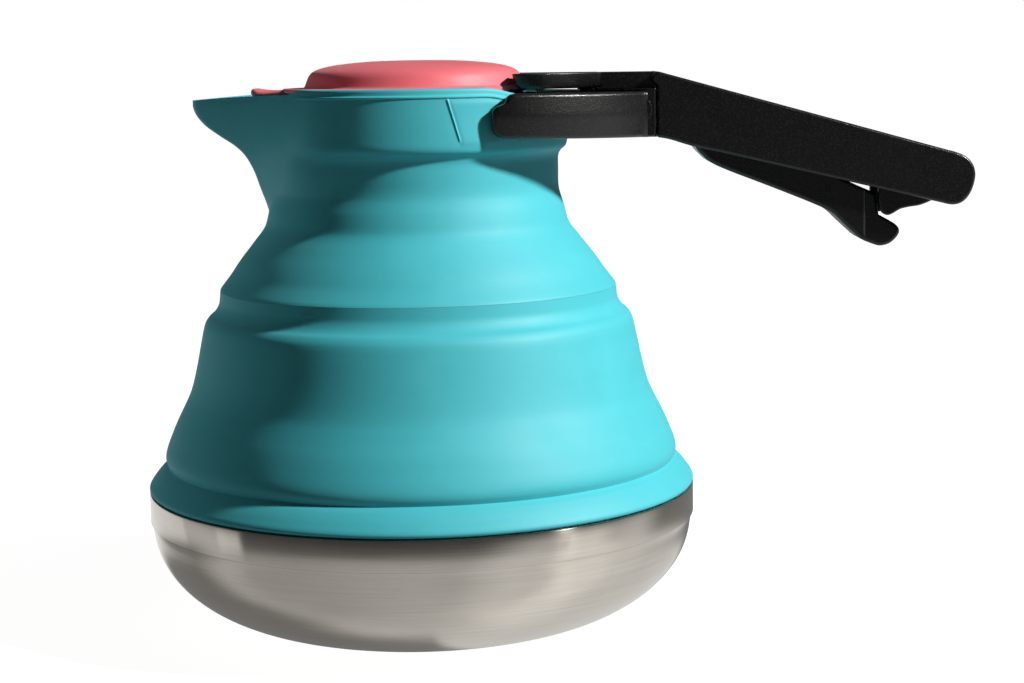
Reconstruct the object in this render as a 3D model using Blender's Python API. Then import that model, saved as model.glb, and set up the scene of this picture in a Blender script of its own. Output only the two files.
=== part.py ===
# A collapsible camping kettle: a steel pan, a folding silicone body with its spout,
# a silicone lid, and a black nylon handle that folds up over the lid.
# Metres, +Z up. The origin is the centre of the pan's flat underside, the spout points
# to -X and the handle to +X. The part is the same on both sides of the XZ plane.

from math import acos, asin, atan2, cos, hypot, pi, radians, sin, sqrt

import bmesh
import bpy
from mathutils import Matrix, Vector

# Driving dimensions of the whole kettle
rim_radius = 0.0800          # outer radius of the steel pan's rim
pan_height = 0.0401          # height of the pan's rim over its underside
neck_radius = 0.0413         # outer radius of the silicone neck
collar_proud = 0.0027        # how far the collar round the mouth stands out from the neck
shoulder_radius = 0.0626     # outer radius where the folding wall meets the band
wall_rise = 0.0482           # from the pan's rim up to that seam
band_rise = 0.0097           # of the band, up to the top of its step
cone_rise = 0.0198           # of the cone over the band
neck_rise = 0.0214           # from the cone up to the collar
collar_rise = 0.0167         # of the collar, up to its rim

shoulder_height = pan_height + wall_rise
step_high = shoulder_height + band_rise
neck_foot_height = step_high + cone_rise
collar_low = neck_foot_height + neck_rise
mouth_height = collar_low + collar_rise
collar_radius = neck_radius + collar_proud

# Clearances
seat_gap = 0.0003            # between pieces that touch
running_gap = 0.0004         # between pieces that slide past each other
cut_overrun = 0.0010         # how far a cutter passes a face

turn_steps = 48              # facets round the large turned pieces


def clear_scene():
    for thing in list(bpy.data.objects):
        bpy.data.objects.remove(thing, do_unlink=True)


def finish(name, colour, roughness, metallic):
    made = bpy.data.materials.new(name)
    made.use_nodes = True
    shader = made.node_tree.nodes["Principled BSDF"]
    shader.inputs["Base Color"].default_value = (*colour, 1.0)
    shader.inputs["Roughness"].default_value = roughness
    shader.inputs["Metallic"].default_value = metallic
    return made


def empty_at(name, place, parent=None):
    """An empty that stands on a joint's axis or at a sub-assembly's place."""
    made = bpy.data.objects.new(name, None)
    bpy.context.scene.collection.objects.link(made)
    made.empty_display_size = rim_radius / 8
    made.parent = parent
    made.location = Vector(place) - (world_place(parent) if parent else Vector())
    return made


def world_place(thing):
    place = Vector()
    while thing is not None:
        place += thing.location
        thing = thing.parent
    return place


def piece_from(name, shape, material, parent=None, sharp=30):
    """One named object from a bmesh in world places, set under its parent empty."""
    data = bpy.data.meshes.new(name)
    bmesh.ops.remove_doubles(shape, verts=shape.verts, dist=seat_gap / 1000)
    bmesh.ops.recalc_face_normals(shape, faces=shape.faces)
    shape.to_mesh(data)
    shape.free()
    made = bpy.data.objects.new(name, data)
    bpy.context.scene.collection.objects.link(made)
    if parent is not None:
        data.transform(Matrix.Translation(-world_place(parent)))
        made.parent = parent
    if material is not None:
        data.materials.append(material)
    data.shade_smooth()
    data.set_sharp_from_angle(angle=radians(sharp))
    return made


def cutter_from(name, shape, parent=None):
    made = piece_from(name, shape, None, parent)
    made.hide_render = True
    made.display_type = "WIRE"
    return made


def cut(target, cutter, operation="DIFFERENCE"):
    step = target.modifiers.new(cutter.name, "BOOLEAN")
    step.operation = operation
    step.solver = "EXACT"
    step.object = cutter


def level_rings(shape, profile):
    """One round ring of vertices about Z for each (radius, height) point."""
    turns = [2 * pi * n / turn_steps for n in range(turn_steps)]
    return [[shape.verts.new((radius * cos(turn), radius * sin(turn), height)) for turn in turns]
            for radius, height in profile]


def turned(profile):
    """A bmesh turned about Z from a closed profile of (radius, height) points."""
    shape = bmesh.new()
    join_rings(shape, level_rings(shape, profile), closed=True)
    return shape


def join_rings(shape, rings, closed=False):
    """Quads between rings of equal count; closed also joins the last to the first."""
    pairs = list(zip(rings, rings[1:]))
    if closed:
        pairs.append((rings[-1], rings[0]))
    for low, high in pairs:
        count = len(low)
        for n in range(count):
            after = (n + 1) % count
            shape.faces.new((low[n], low[after], high[after], high[n]))


def arc(centre, radius, start, end, steps):
    """Points of a round stretch, with its angles in degrees."""
    found = []
    for n in range(steps + 1):
        turn = radians(start + (end - start) * n / steps)
        found.append((centre[0] + radius * cos(turn), centre[1] + radius * sin(turn)))
    return found


def slab(outline, low, high, across="Z"):
    """A closed prism: an outline extruded along Z from low to high, or along Y."""
    shape = bmesh.new()
    if across == "Z":
        ends = [[shape.verts.new((a, b, level)) for a, b in outline] for level in (low, high)]
    else:
        ends = [[shape.verts.new((a, level, b)) for a, b in outline] for level in (low, high)]
    shape.faces.new(ends[0])
    shape.faces.new(list(reversed(ends[1])))
    join_rings(shape, ends)
    return shape


def rod(start, end, radius, steps=12, head_radius=None, head_length=0.0):
    """A round bar between two points, with a wider head at its start if one is given."""
    start, end = Vector(start), Vector(end)
    along = (end - start).normalized()
    side = along.orthogonal().normalized()
    other = along.cross(side)
    stations = [(start, radius)]
    if head_radius:
        stations = [(start, head_radius), (start + along * head_length, head_radius),
                    (start + along * head_length, radius)]
    stations.append((end, radius))
    shape = bmesh.new()
    rings = []
    for place, reach in stations:
        turns = [2 * pi * n / steps for n in range(steps)]
        rings.append([shape.verts.new(place + (side * cos(turn) + other * sin(turn)) * reach)
                      for turn in turns])
    join_rings(shape, rings)
    shape.faces.new(rings[0])
    shape.faces.new(list(reversed(rings[-1])))
    return shape


def joined(shapes):
    """Several closed shapes in one bmesh, for cutters and groups of like pieces."""
    whole = bmesh.new()
    for shape in shapes:
        data = bpy.data.meshes.new("part of a group")
        shape.to_mesh(data)
        shape.free()
        whole.from_mesh(data)
        bpy.data.meshes.remove(data)
    return whole


clear_scene()

steel = finish("brushed steel", (0.55, 0.52, 0.48), 0.32, 1.0)
bright_steel = finish("bright steel", (0.62, 0.61, 0.60), 0.25, 1.0)
turquoise = finish("turquoise silicone", (0.06, 0.52, 0.60), 0.55, 0.0)
coral = finish("coral silicone", (0.86, 0.20, 0.24), 0.50, 0.0)
nylon = finish("black nylon", (0.012, 0.013, 0.014), 0.45, 0.0)
ring_nylon = finish("grey nylon", (0.06, 0.06, 0.065), 0.5, 0.0)

# The steel pan: a drawn bowl with a flat bottom and an upright hem round its rim
pan_wall = 0.0008
flat_radius = 0.0360         # of the flat underside
hem_height = 0.0093          # of the upright band under the rim
hem_proud = 0.0005           # how far that band stands out from the bowl below it
bowl_steps = 9

hem_low = pan_height - hem_height
bowl_radius = rim_radius - hem_proud


def bowl_curve(inward):
    """The bowl's section from the hem down to the flat, moved inward by a wall."""
    found = []
    for n in range(bowl_steps + 1):
        turn = pi / 2 * n / bowl_steps
        spread = (bowl_radius - flat_radius) * cos(turn)
        drop = hem_low * sin(turn)
        slope = atan2(hem_low * cos(turn), (bowl_radius - flat_radius) * sin(turn))
        radius = flat_radius + spread - inward * sin(slope)
        found.append((radius, hem_low - drop + inward * cos(slope)))
    return found


def make_pan():
    outer = [(rim_radius - pan_wall / 2, pan_height), (rim_radius, pan_height - pan_wall / 2),
             (rim_radius, hem_low + hem_proud)]
    outer += bowl_curve(0)
    inner = list(reversed(bowl_curve(pan_wall)))
    inner += [(bowl_radius - pan_wall, pan_height - pan_wall / 2),
              (bowl_radius - pan_wall / 2, pan_height)]
    shape = bmesh.new()
    rings = level_rings(shape, outer + inner)
    under, floor = len(outer) - 1, len(outer)
    join_rings(shape, rings[: under + 1])
    join_rings(shape, rings[floor:] + [rings[0]])
    shape.faces.new(rings[under])
    shape.faces.new(rings[floor])
    return shape


steel_pan = piece_from("steel_pan", make_pan(), steel)

# The folding wall: the flange clamped in the pan's rim and the tapered wall above it
silicone_wall_thickness = 0.0018
flange_edge = 0.0018         # height of the flange's rounded outer edge
skirt_depth = 0.0085         # how far the flange's skirt goes down inside the pan
skirt_thickness = 0.0014
notch_inset = 0.0058         # of the crease where the flange meets the wall, from the rim
notch_rise = 0.0077          # of that crease over the pan's rim
bulge_proud = 0.0005         # of the wall's widest place, just above that crease
bulge_rise = 0.0029
# Where the wall turns steeper: shares of its drop in radius and of its rise over the bulge
slope_shares = (0.67, 0.50)
clamp_thickness = 0.0012
clamp_height = 0.0060

pan_inside = bowl_radius - pan_wall
flange_low = pan_height + seat_gap
skirt_outer = pan_inside - seat_gap
skirt_inner = skirt_outer - skirt_thickness
notch_radius = rim_radius - notch_inset
notch_height = pan_height + notch_rise
bulge_radius = notch_radius + bulge_proud
bulge_height = notch_height + bulge_rise
slope_radius = bulge_radius + (shoulder_radius - bulge_radius) * slope_shares[0]
slope_height = bulge_height + (shoulder_height - bulge_height) * slope_shares[1]


def wall_outside():
    """The wall's outer section, from the flange's edge up to the seam with the shoulder."""
    rise = notch_height - flange_low
    return [(rim_radius - flange_edge / 6, flange_low),
            (rim_radius, flange_low + flange_edge / 2),
            (rim_radius - flange_edge / 2, flange_low + flange_edge),
            (notch_radius + (rim_radius - notch_radius) / 2, flange_low + rise * 0.70),
            (notch_radius, notch_height),
            (bulge_radius, (notch_height + bulge_height) / 2),
            (bulge_radius, bulge_height),
            (bulge_radius - (bulge_radius - slope_radius) * 0.30,
             bulge_height + (slope_height - bulge_height) * 0.36),
            (slope_radius, slope_height),
            (slope_radius - (slope_radius - shoulder_radius) * 0.45,
             slope_height + (shoulder_height - slope_height) * 0.42),
            (shoulder_radius, shoulder_height - seat_gap)]


def make_wall():
    outside = wall_outside()
    thick = silicone_wall_thickness
    inside = [(radius - thick, height) for radius, height in reversed(outside[5:])]
    inside += [(notch_radius - thick, notch_height - thick / 2),
               (skirt_inner, flange_low + flange_edge / 2)]
    skirt = [(skirt_inner, pan_height - skirt_depth),
             (skirt_outer, pan_height - skirt_depth),
             (skirt_outer, flange_low)]
    return turned(list(reversed(outside + inside + skirt)))


silicone_wall = piece_from("silicone_wall", make_wall(), turquoise, sharp=50)


def make_clamp():
    outer = skirt_inner - seat_gap
    inner = outer - clamp_thickness
    top = pan_height - clamp_thickness
    low = top - clamp_height
    return turned([(inner, low), (inner, top), (outer, top), (outer, low)])


clamp_ring = piece_from("clamp_ring", make_clamp(), bright_steel)

# The stiff band between the two tapers that fold: it goes down when the wall folds in
step_inset = 0.0046          # of the band's upright step, from the shoulder
step_rise = 0.0032           # of that step
# The band's rounded shoulder: shares of its drop in radius, at shares of its height
shoulder_shares = ((0.18, 0.25), (0.38, 0.42), (0.78, 0.66))

step_radius = shoulder_radius - step_inset
step_low = step_high - step_rise

waist_group = empty_at("waist_group", (0, 0, shoulder_height))


def between(low, high, shares):
    """Points from one (radius, height) to another at shares of each."""
    return [(low[0] + (high[0] - low[0]) * across, low[1] + (high[1] - low[1]) * up)
            for across, up in shares]


def thick_wall(outside):
    """A turned wall from its outer section, which runs upward, as thick as the moulding."""
    inside = [(radius - silicone_wall_thickness, height) for radius, height in outside]
    return turned(outside + list(reversed(inside)))


def make_band():
    seam, step = (shoulder_radius, shoulder_height), (step_radius, step_low)
    rounded = between(seam, step, shoulder_shares)
    return thick_wall([seam] + rounded + [step, (step_radius, step_high)])


silicone_band = piece_from("silicone_band", make_band(), turquoise, waist_group, sharp=50)

# The cone over the band, the second taper, which folds in under the neck
neck_foot_flare = 0.0024     # how far the cone's top stands out from the neck
cone_shares = ((0.175, 0.16), (0.50, 0.495), (0.78, 0.74), (0.94, 0.89))

neck_foot_radius = neck_radius + neck_foot_flare


def make_cone():
    low = (step_radius, step_high + seat_gap)
    high = (neck_foot_radius, neck_foot_height - seat_gap)
    return thick_wall([low] + between(low, high, cone_shares) + [high])


silicone_cone = piece_from("silicone_cone", make_cone(), turquoise, waist_group, sharp=50)

# Everything from the neck up rides on this empty and goes down when the cone folds in
upper_group = empty_at("upper_group", (0, 0, neck_foot_height), waist_group)

# The neck, collar and spout: the stiff upper end of the silicone moulding
neck_upright = 0.0107        # of the neck's upright stretch
collar_flare = 0.0026        # over which the neck widens into the collar
collar_thickness = 0.0024
bead_drop = 0.0022           # of the thin bead line under the rim
bead_proud = 0.0003
rim_round = 0.0006
mouth_inset = 0.0114         # of the lip that the lid's plug enters, from the collar's side
lip_thickness = 0.0020
rebate_inset = 0.0055        # of the recess round the mouth that the lid's flange lies in
rebate_depth = 0.0016
rear_dip = 0.0022            # how much lower the rim is under the lid keeper
ledge_rise = 0.0008          # of the ledge inside the collar that the neck ring stands on
spout_length = 0.0204        # from the collar's side to the tip of the lip
spout_dip = 0.0030           # how far that tip is below the rim
spout_nose_radius = 0.0060
spout_notch = 0.0013         # how far the spout's edge drops below the round rim
spout_foot_rise = 0.0012     # where the spout's keel leaves the neck, over its foot
spout_edge_step = 0.0004

neck_high = collar_low - collar_flare
neck_low = neck_high - neck_upright
lip_radius = collar_radius - mouth_inset
rebate_radius = collar_radius - rebate_inset
ring_seat = collar_low + ledge_rise
spout_reach = collar_radius + spout_length
spout_tip_height = mouth_height - spout_dip
spout_foot = neck_foot_height + spout_foot_rise

# How far the keel stands out at shares of the height from its foot to its tip
keel_shares = ((0.0, 0.02), (0.13, 0.11), (0.24, 0.175), (0.38, 0.24), (0.47, 0.31),
               (0.555, 0.395), (0.615, 0.505), (0.68, 0.64), (0.745, 0.77), (0.80, 0.85),
               (0.90, 0.957), (1.0, 1.0))
# The neck's foot, in shares of its drop in radius and of its height
neck_shares = ((0.17, 0.25), (0.62, 0.62))

# Turns from the spout's side, in degrees, closer together over the spout
spout_turns = (0, 2.5, 5, 8, 12, 17, 23, 29, 35, 40, 44, 48)
plain_turns = 20
rear_dip_inner = radians(42)  # turns from the handle's side over which the rim comes back up
rear_dip_outer = radians(62)
channel_inner = radians(40)   # turns over which the spout's channel gives way to the lip
channel_outer = radians(46)


def section_turns():
    last = spout_turns[-1]
    half = list(spout_turns)
    half += [last + (180 - last) * n / plain_turns for n in range(1, plain_turns + 1)]
    return [radians(t) for t in half] + [-radians(t) for t in reversed(half[1:-1])]


def smooth_share(value, low, high):
    share = min(max((value - low) / (high - low), 0.0), 1.0)
    return share * share * (3 - 2 * share)


def keel(height):
    """How far the spout's keel is from the axis at a height."""
    share = (height - spout_foot) / (spout_tip_height - spout_foot)
    share = min(max(share, 0.0), 1.0)
    for (low, near), (high, far) in zip(keel_shares, keel_shares[1:]):
        if share <= high:
            reach = near + (far - near) * (share - low) / (high - low)
            return neck_radius + (spout_reach - neck_radius) * reach
    return spout_reach


def beak(turn, radius, reach, nose):
    """Distance from the axis to the edge of a round section with a spout at turn 0.
    The edge is the hull of the round neck and of the small circle of the spout's nose."""
    turn = abs(turn)
    centre = reach - nose
    if centre <= radius - nose:
        return radius
    touch = acos((radius - nose) / centre)
    if turn >= touch:
        return radius
    nose_turn = atan2(nose * sin(touch), centre + nose * cos(touch))
    if turn < nose_turn:
        return centre * cos(turn) + sqrt(nose ** 2 - (centre * sin(turn)) ** 2)
    return radius / cos(turn - touch)


def section(radius, height, inward=0.0):
    """A level section of the moulding, as (turn, distance, height), moved in by a wall."""
    reach = max(keel(height) if height > spout_foot else radius, radius)
    nose = spout_nose_radius - inward / 2
    return [(turn, beak(turn, radius - inward, reach - inward, nose), height)
            for turn in section_turns()]


def rim_top(turn, distance):
    """Height of the rim at a turn from the spout's side and a distance from the axis."""
    over_spout = 1 - smooth_share(abs(turn), channel_inner, channel_outer)
    along = max(distance - collar_radius, 0.0) / (spout_reach - collar_radius)
    slope = along * (mouth_height - spout_notch - spout_tip_height)
    rear = 1 - smooth_share(pi - abs(turn), rear_dip_inner, rear_dip_outer)
    return mouth_height - over_spout * spout_notch - slope - rear * rear_dip


def over_channel(turn, plain, spouted):
    """The plain value round the mouth, and the spouted one across the spout's channel."""
    share = smooth_share(abs(turn), channel_inner, channel_outer)
    return plain * share + spouted * (1 - share)


def make_neck():
    wall = silicone_wall_thickness
    foot, upright = (neck_foot_radius, neck_foot_height), (neck_radius, neck_low)
    body = [foot] + between(foot, upright, neck_shares)
    body += [upright, (neck_radius, (neck_low + neck_high) / 2), (neck_radius, neck_high)]
    sections = [section(radius, height) for radius, height in body]

    # The collar, its bead and its rim
    collar_top = spout_tip_height - 1.5 * bead_drop
    for height in (collar_low, (collar_low + collar_top) / 2, collar_top):
        sections.append(section(collar_radius, height))
    widest = section(collar_radius, spout_tip_height)
    for inset, drop in ((0, bead_drop), (bead_proud, bead_drop - rim_round / 2),
                        (bead_proud, rim_round), (bead_proud + rim_round, 0)):
        sections.append([(turn, distance - inset, rim_top(turn, distance) - drop)
                         for turn, distance, _ in widest])

    # The rebate, the lip round the mouth and the groove behind it. Across the spout's
    # channel the same rings run down the channel's side.
    channel = section(collar_radius, spout_tip_height, collar_thickness)
    groove_radius = collar_radius - collar_thickness
    lip_top = mouth_height - rebate_depth
    lip_low = lip_top - lip_thickness
    steps = ((rebate_radius, mouth_height), (rebate_radius, lip_top), (lip_radius, lip_top),
             (lip_radius, lip_low), (groove_radius, lip_low))
    for count, (radius, height) in enumerate(steps):
        ring = []
        for turn, distance, _ in channel:
            level = min(height, rim_top(turn, radius))
            side = rim_top(turn, distance) - count * spout_edge_step
            ring.append((turn, over_channel(turn, radius, distance),
                         over_channel(turn, level, side)))
        sections.append(ring)
    sections.append(section(collar_radius, ring_seat, collar_thickness))

    # The inside, parallel to the outside
    sections.append(section(neck_radius, ring_seat - seat_gap, wall))
    for radius, height in reversed(body):
        sections.append(section(radius, height, wall))

    shape = bmesh.new()
    rings = []
    for ring in sections:
        rings.append([shape.verts.new((-distance * cos(turn), distance * sin(turn), height))
                      for turn, distance, height in ring])
    join_rings(shape, rings, closed=True)
    return shape


silicone_neck = piece_from("silicone_neck", make_neck(), turquoise, upper_group, sharp=50)

# The stiff ring inside the collar, open towards the spout, which the yoke is screwed to
ring_thickness = 0.0023
ring_opening = radians(50)   # half of the gap left for the spout
ring_steps = 30

ring_outer = collar_radius - collar_thickness - seat_gap
ring_inner = ring_outer - ring_thickness
ring_low = ring_seat + seat_gap
ring_high = mouth_height - rebate_depth - lip_thickness - seat_gap


def make_neck_ring():
    shape = bmesh.new()
    rings = []
    for n in range(ring_steps + 1):
        turn = ring_opening + (2 * pi - 2 * ring_opening) * n / ring_steps
        corners = ((ring_inner, ring_low), (ring_outer, ring_low),
                   (ring_outer, ring_high), (ring_inner, ring_high))
        rings.append([shape.verts.new((-radius * cos(turn), -radius * sin(turn), height))
                      for radius, height in corners])
    join_rings(shape, rings)
    shape.faces.new(rings[0])
    shape.faces.new(list(reversed(rings[-1])))
    return shape


neck_ring = piece_from("neck_ring", make_neck_ring(), ring_nylon, upper_group)

# The lid: a silicone dome with a flange in the rebate, a plug in the mouth and a pull tab
dome_inset = 0.0005          # of the dome's foot, from the mouth's lip
dome_lean = 0.0019           # of the dome's side, up to its shoulder
dome_shoulder_height = 0.0043
dome_height = 0.0077         # of its crown over the flange
dome_wall = 0.0020
flange_thickness = 0.0012
flange_rear_turn = radians(48)
plug_gap = 0.0012            # round the plug in the mouth
plug_wall = 0.0018
plug_depth = 0.0040
tab_proud = 0.0030           # how far the tab passes the collar's side
tab_half_width = 0.0065
tab_thickness = 0.0020
lid_top_gap = 0.0001
lid_axis_rise = 0.0034       # over the rim

dome_radius = lip_radius - dome_inset
dome_shoulder_radius = dome_radius - dome_lean
plug_radius = lip_radius - plug_gap
tab_reach = collar_radius + tab_proud
lid_axis = (dome_radius - seat_gap, 0, mouth_height + lid_axis_rise)
flange_high = mouth_height - lid_top_gap
flange_low_side = flange_high - flange_thickness
# The dome's section over its shoulder: shares of the shoulder's radius and of the height left
dome_shares = ((0.945, 0.33), (0.80, 0.62), (0.56, 0.86), (0.24, 0.985))

lid_hinge = empty_at("lid_hinge", lid_axis, upper_group)


def flange_reach(turn):
    """The flange's radius: cut back to the dome at the rear, where the keeper lies."""
    share = smooth_share(abs(turn), flange_rear_turn, flange_rear_turn * 1.25)
    least = dome_radius + seat_gap
    return least + (rebate_radius - running_gap - least) * share


def make_lid():
    crown = flange_high + dome_height
    shoulder = flange_high + dome_shoulder_height
    left = crown - shoulder
    dome = [(dome_shoulder_radius * across, shoulder + left * up)
            for across, up in reversed(dome_shares)]
    dome += [(dome_shoulder_radius, shoulder), (dome_radius, flange_high)]
    plug_inner = plug_radius - plug_wall
    under = [(plug_radius, flange_low_side), (plug_radius, flange_low_side - plug_depth),
             (plug_inner, flange_low_side - plug_depth),
             (plug_inner, shoulder - dome_wall)]
    under += [(plug_inner * across, shoulder - dome_wall + left * up)
              for across, up in dome_shares[1:]]
    shape = bmesh.new()
    rings = []

    def ring_at(radius, height):
        ring = []
        for n in range(turn_steps):
            turn = 2 * pi * n / turn_steps
            signed = turn if turn <= pi else turn - 2 * pi
            reach = flange_reach(signed) if radius is None else radius
            ring.append(shape.verts.new((reach * cos(turn), reach * sin(turn), height)))
        rings.append(ring)

    for radius, height in dome:
        ring_at(radius, height)
    ring_at(None, flange_high)
    ring_at(None, flange_low_side)
    for radius, height in under:
        ring_at(radius, height)
    join_rings(shape, rings)
    shape.faces.new(rings[0])
    shape.faces.new(rings[-1])
    return shape


def make_tab():
    start = dome_radius + dome_wall
    nose = tab_half_width * 0.8
    tip = [(-tab_reach + nose - nose * cos(radians(t)), tab_half_width * sin(radians(t)))
           for t in (0, 30, 60, 90)]
    side = tip + [(-start, tab_half_width * 1.15)]
    outline = side + [(x, -y) for x, y in reversed(side[1:])]
    return slab(outline, flange_high - tab_thickness, flange_high)


lid = piece_from("lid", make_lid(), coral, lid_hinge, sharp=50)
tab_shape = cutter_from("lid tab shape", make_tab(), lid_hinge)
cut(lid, tab_shape, "UNION")

# The yoke: two arms round the collar and the hinge block behind it
yoke_drop = 0.0021           # of the arms' top edge below the rim
yoke_depth = 0.0126
ridge_proud = 0.0007
arm_tip_turn = radians(62)
arm_thickness = 0.0032       # at the arms' tips
yoke_length = 0.0224         # from the collar's side to the back of the arms
yoke_rear_half = 0.0170
tip_step_drop = 0.0032       # the upper part of each arm stops short of the lower
tip_step_share = 0.614       # of the collar's radius, where it stops
block_start = 0.0096         # from the collar's side to the front of the hinge block
block_length = 0.0154
block_half = 0.0120
knuckle_half = 0.0086        # half width of the block above the arms
pad_start = 0.0035           # from the collar's side to the front of the keeper's pad
pad_drop = 0.0012            # of that pad below the rim
tongue_root_length = 0.0115  # of the tongue inside the block
tongue_length = 0.0093       # of the tongue behind the block
tongue_half = 0.0060
tongue_drop = 0.0006         # how far it hangs below the arms
tongue_thickness = 0.0024
slot_start = 0.0040          # from the back of the block to the lock slot in the tongue
slot_length = 0.0039
slot_half = 0.0043
hinge_set = 0.0008           # of the hinge's axis behind the block
hinge_rise = 0.0014          # of that axis over the rim
hinge_round = 0.0020         # radius of the hinge's knuckle round its pin
curve_steps = 9

yoke_high = mouth_height - yoke_drop
yoke_low = yoke_high - yoke_depth
ridge_height = (yoke_low + yoke_high) / 2
yoke_rear = collar_radius + yoke_length
tip_step_x = collar_radius * tip_step_share
tip_step_height = yoke_high - tip_step_drop
block_front = collar_radius + block_start
block_rear = block_front + block_length
pad_front = collar_radius + pad_start
pad_top = mouth_height - pad_drop
tongue_root = block_rear - tongue_root_length
tongue_end = block_rear + tongue_length
tongue_low = yoke_low - tongue_drop
tongue_high = tongue_low + tongue_thickness
slot_front = block_rear + slot_start
slot_rear = slot_front + slot_length
hinge_x = block_rear + hinge_set
hinge_z = mouth_height + hinge_rise
block_top = hinge_z + hinge_round
yoke_inner = collar_radius + seat_gap
# Pull points of the arm's outer curve, as shares of the way from its tip to its rear end
pull_shares = ((0.27, 0.19), (0.79, 0.47))


def arm_curve(inset):
    """The outer side of one arm in plan, from the tip to the rear, moved in by an inset."""
    tip_reach = yoke_inner + arm_thickness
    tip = Vector((tip_reach * cos(arm_tip_turn), tip_reach * sin(arm_tip_turn)))
    rear = Vector((yoke_rear, yoke_rear_half))
    pulls = [Vector((tip.x + (rear.x - tip.x) * along, tip.y + (rear.y - tip.y) * across))
             for along, across in pull_shares]
    found = []
    for n in range(curve_steps + 1):
        t = n / curve_steps
        u = 1 - t
        place = u ** 3 * tip + 3 * u * u * t * pulls[0] + 3 * u * t * t * pulls[1] + t ** 3 * rear
        way = u * u * (pulls[0] - tip) + 2 * u * t * (pulls[1] - pulls[0]) + t * t * (rear - pulls[1])
        way.normalize()
        found.append((place.x + way.y * inset, place.y - way.x * inset))
    found[-1] = (yoke_rear, found[-1][1])
    return found


def mirrored(half):
    """A plan outline from its +Y half, which runs from the axis of symmetry and back to it."""
    return half + [(x, -y) for x, y in reversed(half) if y > seat_gap / 10]


def make_yoke_arms():
    inner = [(yoke_inner * cos(t), yoke_inner * sin(t))
             for t in (arm_tip_turn * n / 12 for n in range(13))]
    levels = ((yoke_low, ridge_proud), (ridge_height, 0), (yoke_high, ridge_proud))
    shape = bmesh.new()
    rings = []
    for height, inset in levels:
        half = inner + arm_curve(inset) + [(yoke_rear, 0)]
        rings.append([shape.verts.new((x, y, height)) for x, y in mirrored(half)])
    join_rings(shape, rings)
    bmesh.ops.triangulate(shape, faces=shape.faces)
    shape.faces.new(rings[0])
    shape.faces.new(list(reversed(rings[-1])))
    return shape


def box(low, high):
    """A closed block between two corners."""
    outline = [(low[0], low[1]), (high[0], low[1]), (high[0], high[1]), (low[0], high[1])]
    return slab(outline, low[2], high[2])


def make_block():
    """The hinge block in side view, as wide as the handle arm, with the tongue below it."""
    outline = [(pad_front, yoke_low + ridge_proud), (pad_front, pad_top),
               (block_rear, pad_top), (block_rear, yoke_low + ridge_proud)]
    return slab(outline, -block_half, block_half, across="Y")


def make_knuckle():
    round_part = [(hinge_x + hinge_round * cos(radians(t)), hinge_z + hinge_round * sin(radians(t)))
                  for t in (-112, -80, -50, -20, 10, 40, 65, 90)]
    outline = [(block_front, pad_top - cut_overrun), (block_rear, pad_top - cut_overrun)]
    outline += round_part + [(block_front, block_top)]
    return slab(outline, -knuckle_half, knuckle_half, across="Y")


def make_tongue():
    return box((tongue_root, -tongue_half, tongue_low), (tongue_end, tongue_half, tongue_high))


handle_yoke = piece_from("handle_yoke", make_yoke_arms(), nylon, upper_group)
for name, maker in (("hinge block shape", make_block), ("knuckle shape", make_knuckle),
                    ("tongue shape", make_tongue)):
    cut(handle_yoke, cutter_from(name, maker(), upper_group), "UNION")

# Holes in the yoke: the stepped arm tips, the lightening pockets, the lock slot and the pin
pocket_wall = 0.0030
pocket_deck = 0.0036
pocket_start = radians(24)
pocket_end = radians(50)
middle_pocket_half = 0.0065
pin_radius = 0.0010
keeper_screw_y = 0.0120
screw_radius = 0.0013
screw_head_radius = 0.0025
screw_head_length = 0.0018
hole_margin = 0.0003
keeper_screw_depth = 0.0078  # of the head's seat, over the arms' underside

middle_pocket_front = pad_front + 1.5 * pocket_wall
keeper_screw_x = pad_front + pocket_wall
screw_head_seat = yoke_low + keeper_screw_depth


def make_tip_steps():
    reach = yoke_inner + 3 * arm_thickness
    shapes = [box((0, side * collar_radius / 2, tip_step_height),
                  (tip_step_x, side * reach, yoke_high + cut_overrun)) for side in (1, -1)]
    return joined(shapes)


def make_pockets():
    """Two curved pockets in the arms and one in the middle, open underneath."""
    deck = yoke_high - pocket_deck
    shapes = []
    reach = yoke_inner + pocket_wall
    for side in (1, -1):
        turns = [pocket_start + (pocket_end - pocket_start) * n / 5 for n in range(6)]
        inner = [(reach * cos(t), reach * sin(t)) for t in turns]
        outer = [p for p in arm_curve(pocket_wall + ridge_proud)
                 if pocket_start < atan2(p[1], p[0]) < pocket_end and hypot(*p) > reach]
        outline = [(x, side * y) for x, y in inner + outer]
        shapes.append(slab(outline, yoke_low - cut_overrun, deck))
    below = yoke_low - cut_overrun - tongue_thickness
    shapes.append(box((middle_pocket_front, -middle_pocket_half, below),
                      (tongue_root, middle_pocket_half, deck)))
    return joined(shapes)


def make_lock_slot():
    return box((slot_front, -slot_half, tongue_low - cut_overrun),
               (slot_rear, slot_half, tongue_high + cut_overrun))


def make_hinge_bore(half, margin):
    return rod((hinge_x, -half, hinge_z), (hinge_x, half, hinge_z), pin_radius + margin)


def make_keeper_screw_holes():
    shapes = []
    for side in (1, -1):
        x, y = keeper_screw_x, side * keeper_screw_y
        shapes.append(rod((x, y, yoke_low - cut_overrun), (x, y, pad_top + cut_overrun),
                          screw_radius + hole_margin, head_radius=screw_head_radius + hole_margin,
                          head_length=screw_head_seat - yoke_low + cut_overrun))
    return joined(shapes)


for name, shape in (("tip step cutter", make_tip_steps()),
                    ("pocket cutter", make_pockets()),
                    ("lock slot cutter", make_lock_slot()),
                    ("yoke bore cutter", make_hinge_bore(block_half, hole_margin)),
                    ("keeper screw hole cutter", make_keeper_screw_holes())):
    cut(handle_yoke, cutter_from(name, shape, upper_group))

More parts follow.
